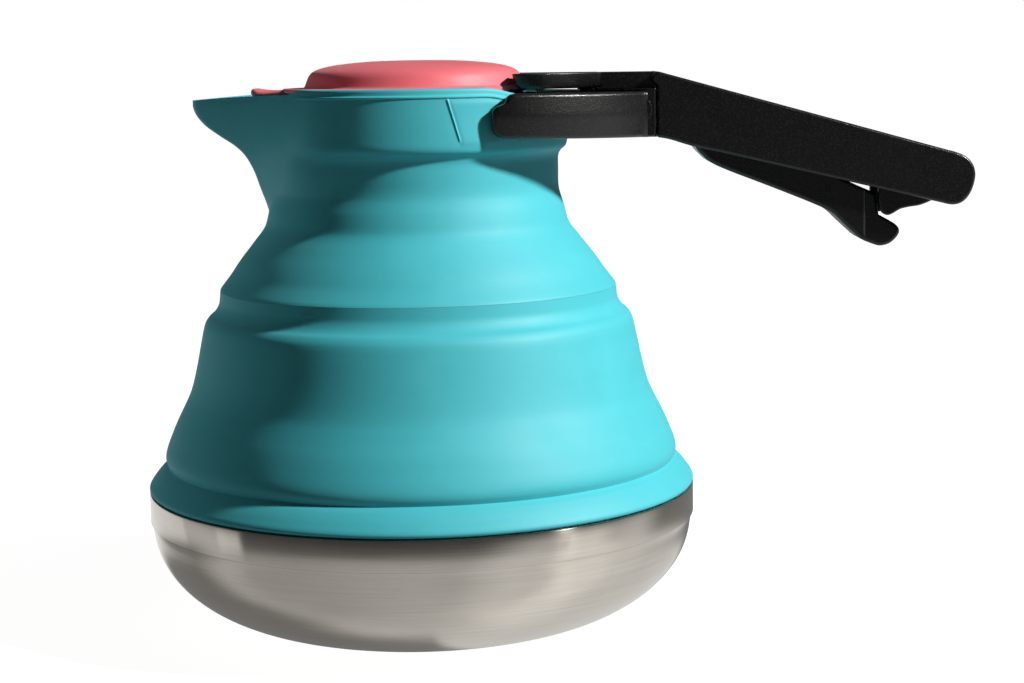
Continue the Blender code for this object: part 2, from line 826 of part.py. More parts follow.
# The screws from inside the neck ring, through the collar, into the yoke
band_turns = (56, 9)         # degrees each way from the handle's side
band_screw_rise = 0.0053     # over the arms' underside
band_screw_grip = 0.0026     # how far they pass the collar's side

band_screw_height = yoke_low + band_screw_rise
band_screw_end = collar_radius + band_screw_grip
band_ways = [Vector((cos(radians(turn)), sin(radians(turn)), 0)) for turn in band_turns]
band_ways += [Vector((way.x, -way.y, 0)) for way in band_ways]


def make_band_screw(way):
    up = Vector((0, 0, band_screw_height))
    return rod(way * (ring_inner - screw_head_length) + up, way * band_screw_end + up,
               screw_radius, steps=8, head_radius=screw_head_radius,
               head_length=screw_head_length - seat_gap)


def make_band_holes():
    up = Vector((0, 0, band_screw_height))
    return joined([rod(way * (ring_inner - cut_overrun) + up,
                       way * (band_screw_end + hole_margin) + up,
                       screw_radius + hole_margin, steps=8) for way in band_ways])


band_hole_cutter = cutter_from("band hole cutter", make_band_holes(), upper_group)
for holed in (silicone_neck, neck_ring, handle_yoke):
    cut(holed, band_hole_cutter)
for count, way in enumerate(band_ways):
    piece_from(f"band_screw_{count + 1}", make_band_screw(way), bright_steel, upper_group)

# The lid's strap, the thin tail of the lid's moulding, clamped under the keeper
strap_thickness = 0.0012
strap_front_gap = 0.0009     # between the dome's foot and its front edge
strap_front_half = 0.0185
strap_taper = 0.0070         # the length over which it narrows
strap_half = 0.0080
strap_arc_steps = 6

strap_low = pad_top + seat_gap
strap_front = dome_radius + strap_front_gap
strap_neck_x = strap_front + strap_taper
strap_end = block_front - 2 * seat_gap


def strap_outline(grow=0.0):
    """The strap in plan, or its pocket, which is grown by a gap all round."""
    spread = asin(strap_front_half / strap_front)
    corner = Vector((strap_front * cos(spread), strap_front_half))
    neck = Vector((strap_neck_x, strap_half))
    way = (neck - corner).normalized()
    out = Vector((-way.y, way.x)) * grow
    front = strap_front - 3 * grow
    half = [(front * cos(spread * n / strap_arc_steps), front * sin(spread * n / strap_arc_steps))
            for n in range(strap_arc_steps)]
    half += [tuple(corner + out - way * 3 * grow), tuple(neck + out * 1.3),
             (strap_end + grow, strap_half + grow), (strap_end + grow, 0)]
    return mirrored(half)


def make_strap():
    return slab(strap_outline(), strap_low, strap_low + strap_thickness)


lid_strap = piece_from("lid_strap", make_strap(), coral, upper_group)

# The keeper: the plate over the yoke that clamps the strap, hollowed round the dome
horn_length = 0.0053         # of the two horns beside the dome
keeper_gap = 0.0014          # between the dome's foot and the keeper
keeper_front_half = 0.0215
keeper_rear_half = 0.0150
foot_set = 0.0058            # of the feet behind the horns' tips
foot_length = 0.0032
foot_half_inner = 0.0165
keeper_chin = 0.0016
keeper_arc_steps = 6

keeper_top = block_top
keeper_low = pad_top + seat_gap
keeper_foot = yoke_high + seat_gap
keeper_round_radius = dome_radius + keeper_gap
keeper_front = keeper_round_radius - horn_length
foot_front = keeper_front + foot_set
foot_rear = foot_front + foot_length


def make_keeper():
    spread = asin((keeper_front_half - arm_thickness / 2) / keeper_round_radius)
    turns = [spread * n / keeper_arc_steps for n in range(keeper_arc_steps + 1)]
    hollow = [(keeper_round_radius * cos(turn), keeper_round_radius * sin(turn)) for turn in turns]
    rear = block_front - seat_gap
    half = hollow + [(keeper_front, keeper_front_half),
                     (keeper_front + keeper_chin, keeper_front_half + keeper_chin / 2),
                     (foot_rear, keeper_front_half),
                     (pad_front, keeper_rear_half + keeper_chin),
                     (rear, keeper_rear_half), (rear, 0)]
    return slab(mirrored(half), keeper_low, keeper_top)


def make_keeper_feet():
    shapes = [box((foot_front, min(side * foot_half_inner, side * keeper_front_half), keeper_foot),
                  (foot_rear, max(side * foot_half_inner, side * keeper_front_half),
                   keeper_low + cut_overrun)) for side in (1, -1)]
    return joined(shapes)


def make_strap_pocket():
    return slab(strap_outline(grow=seat_gap), keeper_low - cut_overrun,
                strap_low + strap_thickness + seat_gap)


def make_keeper_pilot_holes():
    return joined([rod((keeper_screw_x, side * keeper_screw_y, keeper_low - cut_overrun),
                       (keeper_screw_x, side * keeper_screw_y, keeper_top - keeper_chin),
                       screw_radius + hole_margin) for side in (1, -1)])


lid_keeper = piece_from("lid_keeper", make_keeper(), nylon, upper_group)
cut(lid_keeper, cutter_from("keeper feet shape", make_keeper_feet(), upper_group), "UNION")
cut(lid_keeper, cutter_from("strap pocket cutter", make_strap_pocket(), upper_group))
cut(lid_keeper, cutter_from("keeper pilot cutter", make_keeper_pilot_holes(), upper_group))


def make_keeper_screw(y):
    return rod((keeper_screw_x, y, screw_head_seat - screw_head_length),
               (keeper_screw_x, y, keeper_top - keeper_chin - seat_gap),
               screw_radius, steps=8, head_radius=screw_head_radius,
               head_length=screw_head_length - seat_gap)


for count, y in enumerate((keeper_screw_y, -keeper_screw_y)):
    piece_from(f"keeper_screw_{count + 1}", make_keeper_screw(y), bright_steel, upper_group)

# The hinge pin of the handle arm
pin_half = 0.0110
hinge_pin = piece_from(
    "hinge_pin", rod((hinge_x, -pin_half, hinge_z), (hinge_x, pin_half, hinge_z), pin_radius),
    bright_steel, upper_group)

# The handle arm: a channel, open underneath, that folds up over the lid on the pin
arm_half = 0.0120
arm_wall = 0.0030
front_drop = 0.0167          # of the foot of its front wall, below the hinge
chin_back = 0.0020           # of the small chin behind that foot
chin_drop = 0.0170
bend_back = 0.0101           # where the underside's straight edge starts
bend_drop = 0.0194
top_fall = 0.0228            # of the top edge's far end below the hinge
end_depth = 0.0143           # from there down to the underside's far end
end_top_inset = 0.0032       # of those two ends from the arm's tip
end_low_inset = 0.0064
recess_depth = 0.0046        # the top's recess that clears the hinge block when folded
recess_length = 0.0176
cross_wall = 0.0027
# The rounded tip: shares of the end's inset and depth
tip_shares = ((0.19, 0.13), (0.05, 0.27), (0.0, 0.42), (0.26, 0.77), (0.52, 0.93))

# The squeeze lever's pivot and length, which settle the arm's length
lever_back = 0.0147          # of the lever's pivot behind the hinge
lever_set = 0.0037           # of that pivot below the top of the yoke's tongue
lever_reach = 0.0554         # from the pivot to the end of the lever's lobe
lever_swing = 0.0036         # room behind that end for the squeeze
guide_slot_wall = 0.0005
guide_length = 0.0087        # of the end guide's body
guide_end_gap = 0.0079       # from the guide's body to the arm's tip

lever_x = hinge_x + lever_back
lever_z = tongue_high - lever_set
lever_end = lever_x + lever_reach
guide_slot_end = lever_end + lever_swing
guide_body_front = guide_slot_end + guide_slot_wall
guide_body_rear = guide_body_front + guide_length
arm_front = block_rear + seat_gap
arm_end_x = guide_body_rear + guide_end_gap
arm_top_end = arm_end_x - end_top_inset
arm_top_end_height = hinge_z - top_fall
arm_low_end_x = arm_end_x - end_low_inset
arm_low_end_height = arm_top_end_height - end_depth
recess_end = hinge_x + recess_length

handle_group = empty_at("handle_hinge", (hinge_x, 0, hinge_z), upper_group)


def arm_top(x, drop=0.0):
    """Height of the arm's top edge at x, less a drop."""
    start = hinge_z + hinge_round
    slope = (arm_top_end_height - start) / (arm_top_end - hinge_x)
    return start + slope * (x - hinge_x) - drop


def make_arm_outer():
    knuckle = [(hinge_x + hinge_round * cos(radians(t)), hinge_z + hinge_round * sin(radians(t)))
               for t in (75, 105, 135, 165, 195, 225, 254)]
    end = [(arm_top_end, arm_top_end_height)]
    end += [(arm_end_x - end_low_inset * inset, arm_top_end_height - end_depth * down)
            for inset, down in tip_shares]
    end += [(arm_low_end_x, arm_low_end_height)]
    low = [(hinge_x + bend_back, hinge_z - bend_drop), (hinge_x + chin_back, hinge_z - chin_drop),
           (arm_front, hinge_z - front_drop)]
    outline = list(reversed(knuckle)) + end + low
    return slab(outline, -arm_half, arm_half, across="Y")


def make_arm_channel():
    inside = arm_front + cross_wall
    half = arm_half - arm_wall
    below = arm_low_end_height - arm_wall
    rear = arm_end_x - arm_wall
    web_end = recess_end + arm_wall
    outline = [(inside, below), (inside, arm_top(inside, recess_depth + arm_wall)),
               (recess_end, arm_top(recess_end, recess_depth + arm_wall)),
               (web_end, arm_top(web_end, arm_wall)),
               (rear, arm_top(rear, arm_wall)), (rear, below)]
    return slab(outline, -half, half, across="Y")


def make_arm_recess():
    half = arm_half - arm_wall
    front = hinge_x - 2 * hinge_round
    high = hinge_z + 2 * hinge_round
    outline = [(front, arm_top(hinge_x, recess_depth)), (hinge_x, arm_top(hinge_x, recess_depth)),
               (recess_end, arm_top(recess_end, recess_depth)), (recess_end, high), (front, high)]
    return slab(outline, -half, half, across="Y")


def make_under_opening():
    """Opens the arm's front wall below, where the yoke's tongue passes in."""
    half = arm_half - arm_wall
    return box((arm_front - cut_overrun, -half, arm_low_end_height),
               (arm_front + cross_wall + cut_overrun, half, tongue_high + running_gap))


handle_arm = piece_from("handle_arm", make_arm_outer(), nylon, handle_group)
for name, shape in (("arm channel cutter", make_arm_channel()),
                    ("arm recess cutter", make_arm_recess()),
                    ("tongue way cutter", make_under_opening()),
                    ("arm bore cutter", make_hinge_bore(pin_half + hole_margin, hole_margin))):
    cut(handle_arm, cutter_from(name, shape, handle_group))

# The lever's pivot pin, held in the arm's side walls
lever_pin_radius = 0.0012


def make_lever_bore(half, margin):
    return rod((lever_x, -half, lever_z), (lever_x, half, lever_z), lever_pin_radius + margin)


cut(handle_arm, cutter_from(
    "lever pin cutter", make_lever_bore(pin_half, hole_margin), handle_group))
lever_pin = piece_from("lever_pin", make_lever_bore(pin_half - hole_margin, 0), bright_steel,
                       handle_group)

# The end guide: a fork that the lever's end slides in, screwed up into the arm
guide_half = arm_half - arm_wall - seat_gap
guide_slot_half = 0.0063
fork_length = 0.0065         # of the fork in front of the lever's end
fork_drop = 0.0033           # how far the fork hangs below the arm

guide_nose_x = lever_end - fork_length
guide_low = arm_low_end_height + seat_gap
guide_nose_low = guide_low - fork_drop
guide_screw_x = (guide_body_front + guide_body_rear) / 2
guide_screw_seat = guide_low + seat_gap + screw_head_length


def make_guide():
    seat = arm_wall + seat_gap
    nose = guide_nose_x
    rise = guide_low - guide_nose_low
    outline = [(nose, guide_low), (nose + rise * 0.25, guide_nose_low + rise * 0.28),
               (nose + rise * 0.7, guide_nose_low), (nose + rise * 1.9, guide_nose_low + rise * 0.55),
               (nose + rise * 3.5, guide_nose_low + rise * 0.8),
               (nose + rise * 4.5, guide_low + rise * 0.2), (guide_body_rear, guide_low + rise),
               (guide_body_rear, arm_top(guide_body_rear, seat)),
               (guide_body_front, arm_top(guide_body_front, seat)),
               (guide_body_front, guide_low + rise * 1.9),
               (nose + rise * 0.35, guide_low + rise * 1.9), (nose, guide_low + rise * 1.3)]
    return slab(outline, -guide_half, guide_half, across="Y")


def make_guide_slot():
    return box((guide_nose_x - cut_overrun, -guide_slot_half, guide_nose_low - cut_overrun),
               (guide_slot_end, guide_slot_half, arm_top_end_height))


def guide_screw_rod(low, margin):
    """The guide's screw, or with a margin its hole, which is open from below."""
    start = Vector((guide_screw_x, 0, low))
    end = Vector((guide_screw_x, 0, arm_top(guide_screw_x, arm_wall / 3) - seat_gap + margin))
    return rod(start, end, screw_radius + margin, head_radius=screw_head_radius + margin,
               head_length=guide_screw_seat - low + margin)


end_guide = piece_from("end_guide", make_guide(), nylon, handle_group)
cut(end_guide, cutter_from("guide slot cutter", make_guide_slot(), handle_group))
guide_screw_cutter = cutter_from(
    "guide screw hole", guide_screw_rod(guide_nose_low - cut_overrun, hole_margin), handle_group)
cut(end_guide, guide_screw_cutter)
cut(handle_arm, guide_screw_cutter)
guide_screw = piece_from("guide_screw", guide_screw_rod(guide_low + seat_gap, 0), bright_steel,
                         handle_group)

# The squeeze lever: its nose drops into the yoke's slot when the grip is squeezed
lever_half = 0.0084
lever_wall = 0.0020
lever_floor = 0.0022
fork_gap = 0.0036            # between the lever's wide part and the fork
lever_tongue_half = 0.0059
lever_front = 0.0052         # from the pivot to the front of the lever's body
nose_half = 0.0040
nose_thickness = 0.0034
nose_lift = 0.0011           # of the nose's underside behind the slot, to clear the tongue
wire_radius = 0.0004         # of the spring round the lever's pin
coil_radius = 0.0021

lever_wide_end = guide_nose_x - fork_gap
nose_low = tongue_high + running_gap

lever_group = empty_at("lever_hinge", (lever_x, 0, lever_z), handle_group)

# The lever in side view, below and above, as places along its reach and heights, both
# as shares of the reach from the pivot to the end of its lobe
low_shares = ((-0.094, 0.027), (-0.070, -0.031), (-0.038, -0.070), (0.016, -0.1155), (0.242, -0.211),
              (0.576, -0.347), (0.639, -0.381), (0.697, -0.435), (0.753, -0.487),
              (0.798, -0.525), (0.856, -0.551), (0.903, -0.563), (0.953, -0.549),
              (0.991, -0.507), (1.0, -0.480), (0.980, -0.448), (0.892, -0.399))
high_shares = ((0.877, -0.287), (0.745, -0.229), (0.50, -0.105), (0.28, -0.010), (0.10, 0.075),
               (-0.02, 0.095), (-0.094, 0.095))


def lever_point(share):
    return (lever_x + lever_reach * share[0], lever_z + lever_reach * share[1])


def make_lever():
    outline = [lever_point(share) for share in low_shares + high_shares]
    return slab(outline, -lever_half, lever_half, across="Y")


def make_lever_nose():
    """The hook over the tongue's slot, joined to the front of the lever's body."""
    front, rear = slot_front + 3 * running_gap, slot_rear - 2 * running_gap
    body = lever_x - lever_front
    clear = nose_low + nose_lift
    outline = [(front, nose_low), (rear, nose_low), (rear + nose_lift, clear),
               (body + cut_overrun, clear), (body + cut_overrun, clear + nose_thickness / 2),
               (rear, nose_low + nose_thickness), (front + nose_lift / 2, nose_low + nose_thickness)]
    return slab(outline, -nose_half, nose_half, across="Y")


def make_lever_pocket():
    """The hollow of the lever, open on top, over a floor that follows its underside."""
    floor = [lever_point((along, down)) for along, down in low_shares[4:10]]
    floor = [(x, z + lever_floor) for x, z in floor]
    clear = coil_radius + wire_radius + 1.2 * running_gap
    front = [(lever_x - clear, lever_z + lever_reach * 0.2)]
    front += arc((lever_x, lever_z), clear, 180, 270, 3)
    end_x = lever_wide_end - lever_wall * 1.6
    floor = [p for p in floor if p[0] < end_x]
    outline = front + floor + [(end_x, floor[-1][1] + lever_wall / 4),
                               (end_x, lever_z + lever_reach * 0.2)]
    return slab(outline, lever_wall - lever_half, lever_half - lever_wall, across="Y")


def make_lever_sides():
    """Narrows the lever's far end, which passes the fork."""
    low, high = lever_z - lever_reach, lever_z + lever_reach / 2
    far = lever_end + lever_half
    narrow, wide = lever_tongue_half, lever_half + cut_overrun
    return joined([box((lever_wide_end, narrow, low), (far, wide, high)),
                   box((lever_wide_end, -wide, low), (far, -narrow, high))])


squeeze_lever = piece_from("squeeze_lever", make_lever(), nylon, lever_group)
cut(squeeze_lever, cutter_from("lever nose shape", make_lever_nose(), lever_group), "UNION")
for name, shape in (("lever pocket cutter", make_lever_pocket()),
                    ("lever side cutter", make_lever_sides()),
                    ("lever bore cutter", make_lever_bore(lever_half + cut_overrun, hole_margin))):
    cut(squeeze_lever, cutter_from(name, shape, lever_group))

# The torsion spring round the lever's pin, which pushes the grip away from the arm
coil_pitch = 0.00125
coil_turns = 3
coil_start = radians(115)
coil_end = radians(247)      # past its whole turns
points_a_turn = 9
upper_leg = 0.0150
lower_leg = 0.0110


def spring_points():
    """The wire's centreline: the upper leg, the coil round the pin and the lower leg."""
    first = coil_start
    total = coil_turns * 2 * pi + coil_end - coil_start
    count = int(points_a_turn * total / (2 * pi))
    coil = []
    for n in range(count + 1):
        turn = first + total * n / count
        along = coil_pitch * (turn - first - total / 2) / (2 * pi)
        coil.append(Vector((lever_x + coil_radius * cos(turn), along,
                            lever_z + coil_radius * sin(turn))))
    away = Vector((sin(first), 0, -cos(first)))
    last = first + total
    onward = Vector((-sin(last), 0, cos(last)))
    start = [coil[0] + away * upper_leg, coil[0] + away * upper_leg / 2]
    end = [coil[-1] + onward * lower_leg / 2, coil[-1] + onward * lower_leg]
    return start + coil + end


def make_spring():
    line = bpy.data.curves.new("lever_spring", "CURVE")
    line.dimensions = "3D"
    line.bevel_depth = wire_radius
    line.bevel_resolution = 1
    line.use_fill_caps = True
    points = spring_points()
    track = line.splines.new("POLY")
    track.points.add(len(points) - 1)
    origin = world_place(handle_group)
    for spot, place in zip(track.points, points):
        spot.co = (*(place - origin), 1.0)
    made = bpy.data.objects.new("lever_spring", line)
    bpy.context.scene.collection.objects.link(made)
    made.parent = handle_group
    line.materials.append(bright_steel)
    return made


lever_spring = make_spring()
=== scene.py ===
from math import acos, atan2, cos, degrees, exp, pi, radians, sin, sqrt, tan

import bmesh
import bpy
from mathutils import Euler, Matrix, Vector


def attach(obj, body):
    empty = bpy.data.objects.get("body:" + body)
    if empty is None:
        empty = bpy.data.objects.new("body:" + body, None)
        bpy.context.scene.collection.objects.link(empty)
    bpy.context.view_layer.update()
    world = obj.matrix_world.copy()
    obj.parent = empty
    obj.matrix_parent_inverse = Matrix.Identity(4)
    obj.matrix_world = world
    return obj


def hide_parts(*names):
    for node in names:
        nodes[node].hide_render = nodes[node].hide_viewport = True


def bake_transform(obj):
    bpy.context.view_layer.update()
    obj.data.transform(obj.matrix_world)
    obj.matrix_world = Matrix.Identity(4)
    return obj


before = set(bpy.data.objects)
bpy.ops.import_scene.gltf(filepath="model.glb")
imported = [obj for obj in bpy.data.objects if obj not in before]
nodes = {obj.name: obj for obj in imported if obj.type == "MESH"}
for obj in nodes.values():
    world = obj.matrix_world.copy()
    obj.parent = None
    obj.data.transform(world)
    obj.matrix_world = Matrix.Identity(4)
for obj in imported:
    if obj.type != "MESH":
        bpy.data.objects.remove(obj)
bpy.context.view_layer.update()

# The brushed steel pan: one sheet of stainless steel, spun into a bowl with a flat
# bottom. An upright hem round its rim stands half a millimetre proud and grips the
# silicone. It is brushed round its axis.
mm = 0.001
rim_radius = 80.0 * mm
rim_height = 40.1 * mm
hem_foot = 30.8 * mm
hem_proud = 0.5 * mm
hem_corner, hem_edge = 0.4 * mm, 0.1 * mm
kink_depth, kink_start, kink_fade = 0.62 * mm, 2.2 * mm, 9.0 * mm      # in the bowl under the hem
flat_radius = 36.0 * mm
pan_wall = 0.8 * mm
pan_turns = 192


def loft(shape, rings, closed=False):
    """Quads from ring to ring; closed joins the last ring to the first."""
    made = [[shape.verts.new(place) for place in ring] for ring in rings]
    pairs = list(zip(made, made[1:])) + ([(made[-1], made[0])] if closed else [])
    for low, high in pairs:
        for n in range(len(low)):
            after = (n + 1) % len(low)
            shape.faces.new((low[n], low[after], high[after], high[n]))
    return made


def capped(rings):
    """A solid from its rings, with the first and the last of them filled."""
    shape = bmesh.new()
    made = loft(shape, rings)
    shape.faces.new(made[0])
    shape.faces.new(made[-1])
    return shape


def turned_ring(radius, height, turns):
    """The places of one ring round the axis."""
    return [(radius * cos(2 * pi * n / turns), radius * sin(2 * pi * n / turns), height)
            for n in range(turns)]


def piece_of(name, shape, finish, sharp=35):
    """An object from a bmesh, smooth but for edges sharper than an angle."""
    bmesh.ops.remove_doubles(shape, verts=shape.verts, dist=0.002 * mm)
    bmesh.ops.recalc_face_normals(shape, faces=shape.faces)
    data = bpy.data.meshes.new(name)
    shape.to_mesh(data)
    shape.free()
    data.shade_smooth()
    data.set_sharp_from_angle(angle=radians(sharp))
    made = bpy.data.objects.new(name, data)
    bpy.context.scene.collection.objects.link(made)
    data.materials.append(finish)
    return made


def bowl_section(inward, steps=36):
    """The bowl from the hem's foot down to the flat, moved inward by the sheet."""
    across, down = rim_radius - hem_proud - flat_radius, hem_foot
    run = []
    for n in range(steps + 1):
        t = pi / 2 * (n / steps) ** 1.25        # the steps are closer under the hem
        slope = atan2(down * cos(t), across * sin(t))
        drop = down * sin(t)
        turned_in = kink_depth * (1 - exp(-drop / kink_start)) * exp(-drop / kink_fade)
        run.append((flat_radius + across * cos(t) - turned_in - inward * sin(slope),
                    hem_foot - drop + inward * cos(slope)))
    return run


class Wire:
    """A socket of a material's nodes, on which plain sums can be written."""

    def __init__(self, tree, socket=None):
        self.tree, self.socket = tree, socket

    def add(self, kind, settings=None, out=0, **sockets):
        """Any node: its settings first, then its sockets by name, or by number as i0."""
        node = self.tree.nodes.new("ShaderNode" + kind)
        for key, value in (settings or {}).items():
            setattr(node, key, value)
        for key, value in sockets.items():
            place = int(key[1:]) if key[1:].isdigit() else key.replace("_", " ")
            if isinstance(value, Wire):
                self.tree.links.new(value.socket, node.inputs[place])
            else:
                node.inputs[place].default_value = value
        return Wire(self.tree, node.outputs[out])

    def sum(self, operation, a, b=0.0):
        """One Math node."""
        return self.add("Math", {"operation": operation}, i0=a, i1=b)

    def __add__(self, other):
        return self.sum("ADD", self, other)

    def __radd__(self, other):
        return self.sum("ADD", other, self)

    def __sub__(self, other):
        return self.sum("SUBTRACT", self, other)

    def __rsub__(self, other):
        return self.sum("SUBTRACT", other, self)

    def __mul__(self, other):
        return self.sum("MULTIPLY", self, other)

    def __rmul__(self, other):
        return self.sum("MULTIPLY", other, self)

    def part(self, index):
        """One number out of three: x, y or z."""
        return self.add("SeparateXYZ", out=index, i0=self)

    def step(self, low, high):
        """0 below low and 1 above high, with a smooth step between."""
        return self.add("MapRange", {"interpolation_type": "SMOOTHSTEP"},
                        i0=self, i1=low, i2=high)

    def noise(self, scale, detail=2.0, roughness=0.5, distortion=0.0):
        return self.add("TexNoise", Vector=self, Scale=scale, Detail=detail,
                        Roughness=roughness, Distortion=distortion)

    def colours(self, low, high):
        """A colour between two, by this share."""
        return self.add("Mix", {"data_type": "RGBA"}, out=2, i0=self, i6=low, i7=high)

    def bump(self, strength, depth):
        return self.add("Bump", Strength=strength, Distance=depth, Height=self)


def finish_of(name, **constants):
    """A new material, a Wire at its places, and a call that feeds its shader."""
    made = bpy.data.materials.new(name)
    made.use_nodes = True
    shader = made.node_tree.nodes["Principled BSDF"]
    for key, value in constants.items():
        shader.inputs[key.replace("_", " ")].default_value = value
    place = Wire(made.node_tree).add("TexCoord", out=3)

    def feed(**sockets):
        for key, value in sockets.items():
            made.node_tree.links.new(value.socket, shader.inputs[key.replace("_", " ")])

    return made, place, feed


def round_axis(place, along, across):
    """Places for a grain that runs round the axis, scaled along it and across it."""
    x, y, z = (place.part(n) for n in range(3))
    reach = place.sum("SQRT", x * x + y * y)
    turn = place.sum("ARCTAN2", y, x)
    return place.add("CombineXYZ", i0=turn * along, i1=reach * across, i2=z * across)


def brushed(name, dull, bright, rough):
    """Steel brushed round the axis: fine lines that keep one height, broken along it."""
    made, place, feed = finish_of(name, Metallic=1.0, Anisotropic=1.0, Anisotropic_Rotation=0.25)
    lines = round_axis(place, 2.4, 2200.0).noise(1.0, 3.0, 0.65)
    broad = round_axis(place, 0.8, 260.0).noise(1.0, 2.0)
    cloud = place.noise(30.0, 4.0, 0.6)
    smear = place.noise(11.0, 5.0, 0.7, 0.6).step(0.45, 0.75)
    tone = lines * 0.45 + broad * 0.2 + cloud * 0.35
    feed(Base_Color=tone.step(0.3, 0.7).colours((*dull, 1.0), (*bright, 1.0)),
         Roughness=lines * 0.06 + smear * 0.05 + rough,
         Normal=lines.bump(0.06, 0.01 * mm))
    return made


pan_steel = brushed("brushed_pan_steel", (0.55, 0.51, 0.45), (0.64, 0.60, 0.54), 0.11)
hem_path = [(rim_radius - hem_proud - pan_wall, rim_height - hem_corner),
            (rim_radius - hem_proud - 0.7 * pan_wall, rim_height - 0.05 * mm),
            (rim_radius - hem_corner, rim_height),
            (rim_radius - hem_edge, rim_height - hem_edge),
            (rim_radius, rim_height - hem_corner),
            (rim_radius, hem_foot + 0.9 * mm),
            (rim_radius - hem_edge, hem_foot + 0.6 * mm),
            (rim_radius - hem_proud + hem_edge, hem_foot + 0.4 * mm)]
steel_path = list(reversed(bowl_section(pan_wall))) + hem_path + bowl_section(0)
shape = capped([turned_ring(r, z, pan_turns) for r, z in steel_path])
pan = piece_of("pan_shell", shape, pan_steel, sharp=28)
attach(pan, "pan")
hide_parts("steel_pan")


def dress(node, finish):
    """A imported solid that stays, in its finish."""
    kept = nodes[node]
    kept.data.materials.clear()
    kept.data.materials.append(finish)
    return kept


dress("clamp_ring", brushed("turned_ring_steel", (0.52, 0.51, 0.50), (0.68, 0.67, 0.66), 0.18))

# The folding wall: turquoise silicone moulded in one with the cone and the neck. Its flange
# lies on the pan's rim, a crease lets it fold in, and a stiff stepped band ends it. It is
# cut from the cone at the band's top crease, because the two go down one after the other.
skin_wall = 1.8
skin_turns = 192
flange_points = [(79.0, 40.4), (79.75, 40.65), (80.0, 41.3), (79.7, 42.1), (79.0, 43.1),
                 (77.7, 44.8), (76.1, 46.5), (75.0, 47.3), (74.3, 47.75)]
wall_points = [(74.3, 47.85), (74.65, 48.6), (74.95, 49.6), (74.9, 51.0), (74.3, 53.1),
               (72.9, 56.6), (71.4, 60.0), (70.0, 62.8), (68.6, 65.6), (67.35, 68.3),
               (66.4, 71.2), (65.6, 74.3), (64.85, 77.6), (63.95, 82.0), (63.2, 85.6),
               (62.75, 87.5), (62.2, 89.0), (61.2, 90.4), (59.9, 91.5), (58.9, 92.8),
               (58.2, 94.4), (57.95, 96.2), (57.75, 98.2)]


def flowing(points, each=4):
    """A smooth run through points in millimetres, with its ends kept."""
    padded = [points[0]] + list(points) + [points[-1]]
    run = []
    for a, b, c, d in zip(padded, padded[1:], padded[2:], padded[3:]):
        for n in range(each):
            t = n / each
            run.append(tuple(0.5 * mm * (2 * q + (r - p) * t + (2 * p - 5 * q + 4 * r - s) * t * t
                                         + (3 * q - p - 3 * r + s) * t ** 3)
                             for p, q, r, s in zip(a, b, c, d)))
    return run + [tuple(value * mm for value in points[-1])]


def in_metres(points):
    """Points in millimetres, in the scene's metres."""
    return [(across * mm, up * mm) for across, up in points]


def soft_silicone(name, deep, pale, rough=0.53):
    """Matt moulded silicone: a little lighter where it is dusty, with faint mould lines
    round the axis, specks of lint and a very fine grain."""
    made, place, feed = finish_of(name, Specular_IOR_Level=0.48, Sheen_Weight=0.06,
                                  Sheen_Roughness=0.5)
    rounds = round_axis(place, 1.2, 160.0).noise(1.0, 3.0)
    dust = place.noise(38.0, 6.0, 0.65, 0.4).step(0.42, 0.78)
    grain = place.noise(2600.0, 2.0, 0.6)
    specks = place.noise(900.0, 1.0, 0.4).step(0.74, 0.80)
    tone = dust * 0.45 + rounds.step(0.3, 0.7) * 0.30 + grain * 0.25
    feed(Base_Color=(tone + specks * 0.5).colours((*deep, 1.0), (*pale, 1.0)),
         Roughness=dust * 0.10 + grain * 0.08 + rough,
         Normal=(grain * 0.6 + rounds * 1.2 + specks * 0.8).bump(0.22, 0.05 * mm))
    return made


turquoise = soft_silicone("turquoise_silicone", (0.055, 0.500, 0.575), (0.075, 0.560, 0.640))


def inner_side(outside, wall):
    """The inner side of a wall, from the end of its outer side back to the start."""
    inside = []
    for before, here, after in zip(outside[:1] + outside, outside, outside[1:] + outside[-1:]):
        way = Vector((after[0] - before[0], after[1] - before[1])).normalized()
        inside.append((here[0] - way.y * wall, here[1] + way.x * wall))
    return list(reversed(inside))


wall_run = flowing(wall_points)
skirt = [(77.0, 41.6), (77.0, 31.6), (78.4, 31.6), (78.4, 40.4)]
wall_path = flowing(flange_points) + wall_run + inner_side(wall_run, skin_wall * mm)
wall_path += in_metres(skirt)
shape = bmesh.new()
loft(shape, [turned_ring(r, z, skin_turns) for r, z in wall_path], closed=True)
wall = piece_of("folding_wall", shape, turquoise, sharp=40)
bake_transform(wall)
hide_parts("silicone_wall", "silicone_band")

# The cone, neck, collar and spout: the upper part of the same moulding. The cone folds
# in under the neck. The spout is drawn out of the neck's side as a hull of the round
# neck and a small nose, and the collar carries the lid's seat and the handle's yoke.
neck_radius = 41.3
collar_radius = 44.0
collar_wall = 2.4
mouth_height = 155.9
cone_points = [(57.75, 98.25), (57.3, 99.0), (56.2, 100.4), (54.5, 102.6), (52.8, 105.1),
               (50.9, 107.7), (48.9, 110.2), (47.0, 112.6), (45.4, 114.6), (44.3, 116.3),
               (43.75, 117.8), (43.3, 119.6), (42.7, 121.9), (42.0, 124.1), (41.5, 126.0),
               (41.3, 128.2), (41.3, 131.0), (41.3, 133.8)]
collar_points = [(41.3, 135.2), (41.6, 136.4), (42.2, 137.3), (42.9, 137.9), (43.5, 138.5),
                 (43.87, 139.4), (44.0, 140.6), (44.0, 142.5), (44.0, 145.0), (44.0, 147.5),
                 (44.0, 150.0), (44.0, 152.2), (44.0, 153.0)]
bead_points = [(44.0, 153.15), (44.22, 153.35), (44.3, 153.62), (44.2, 153.88), (43.85, 154.05),
               (43.75, 154.6), (43.72, 155.1), (43.6, 155.5), (43.3, 155.8), (42.9, 155.9)]
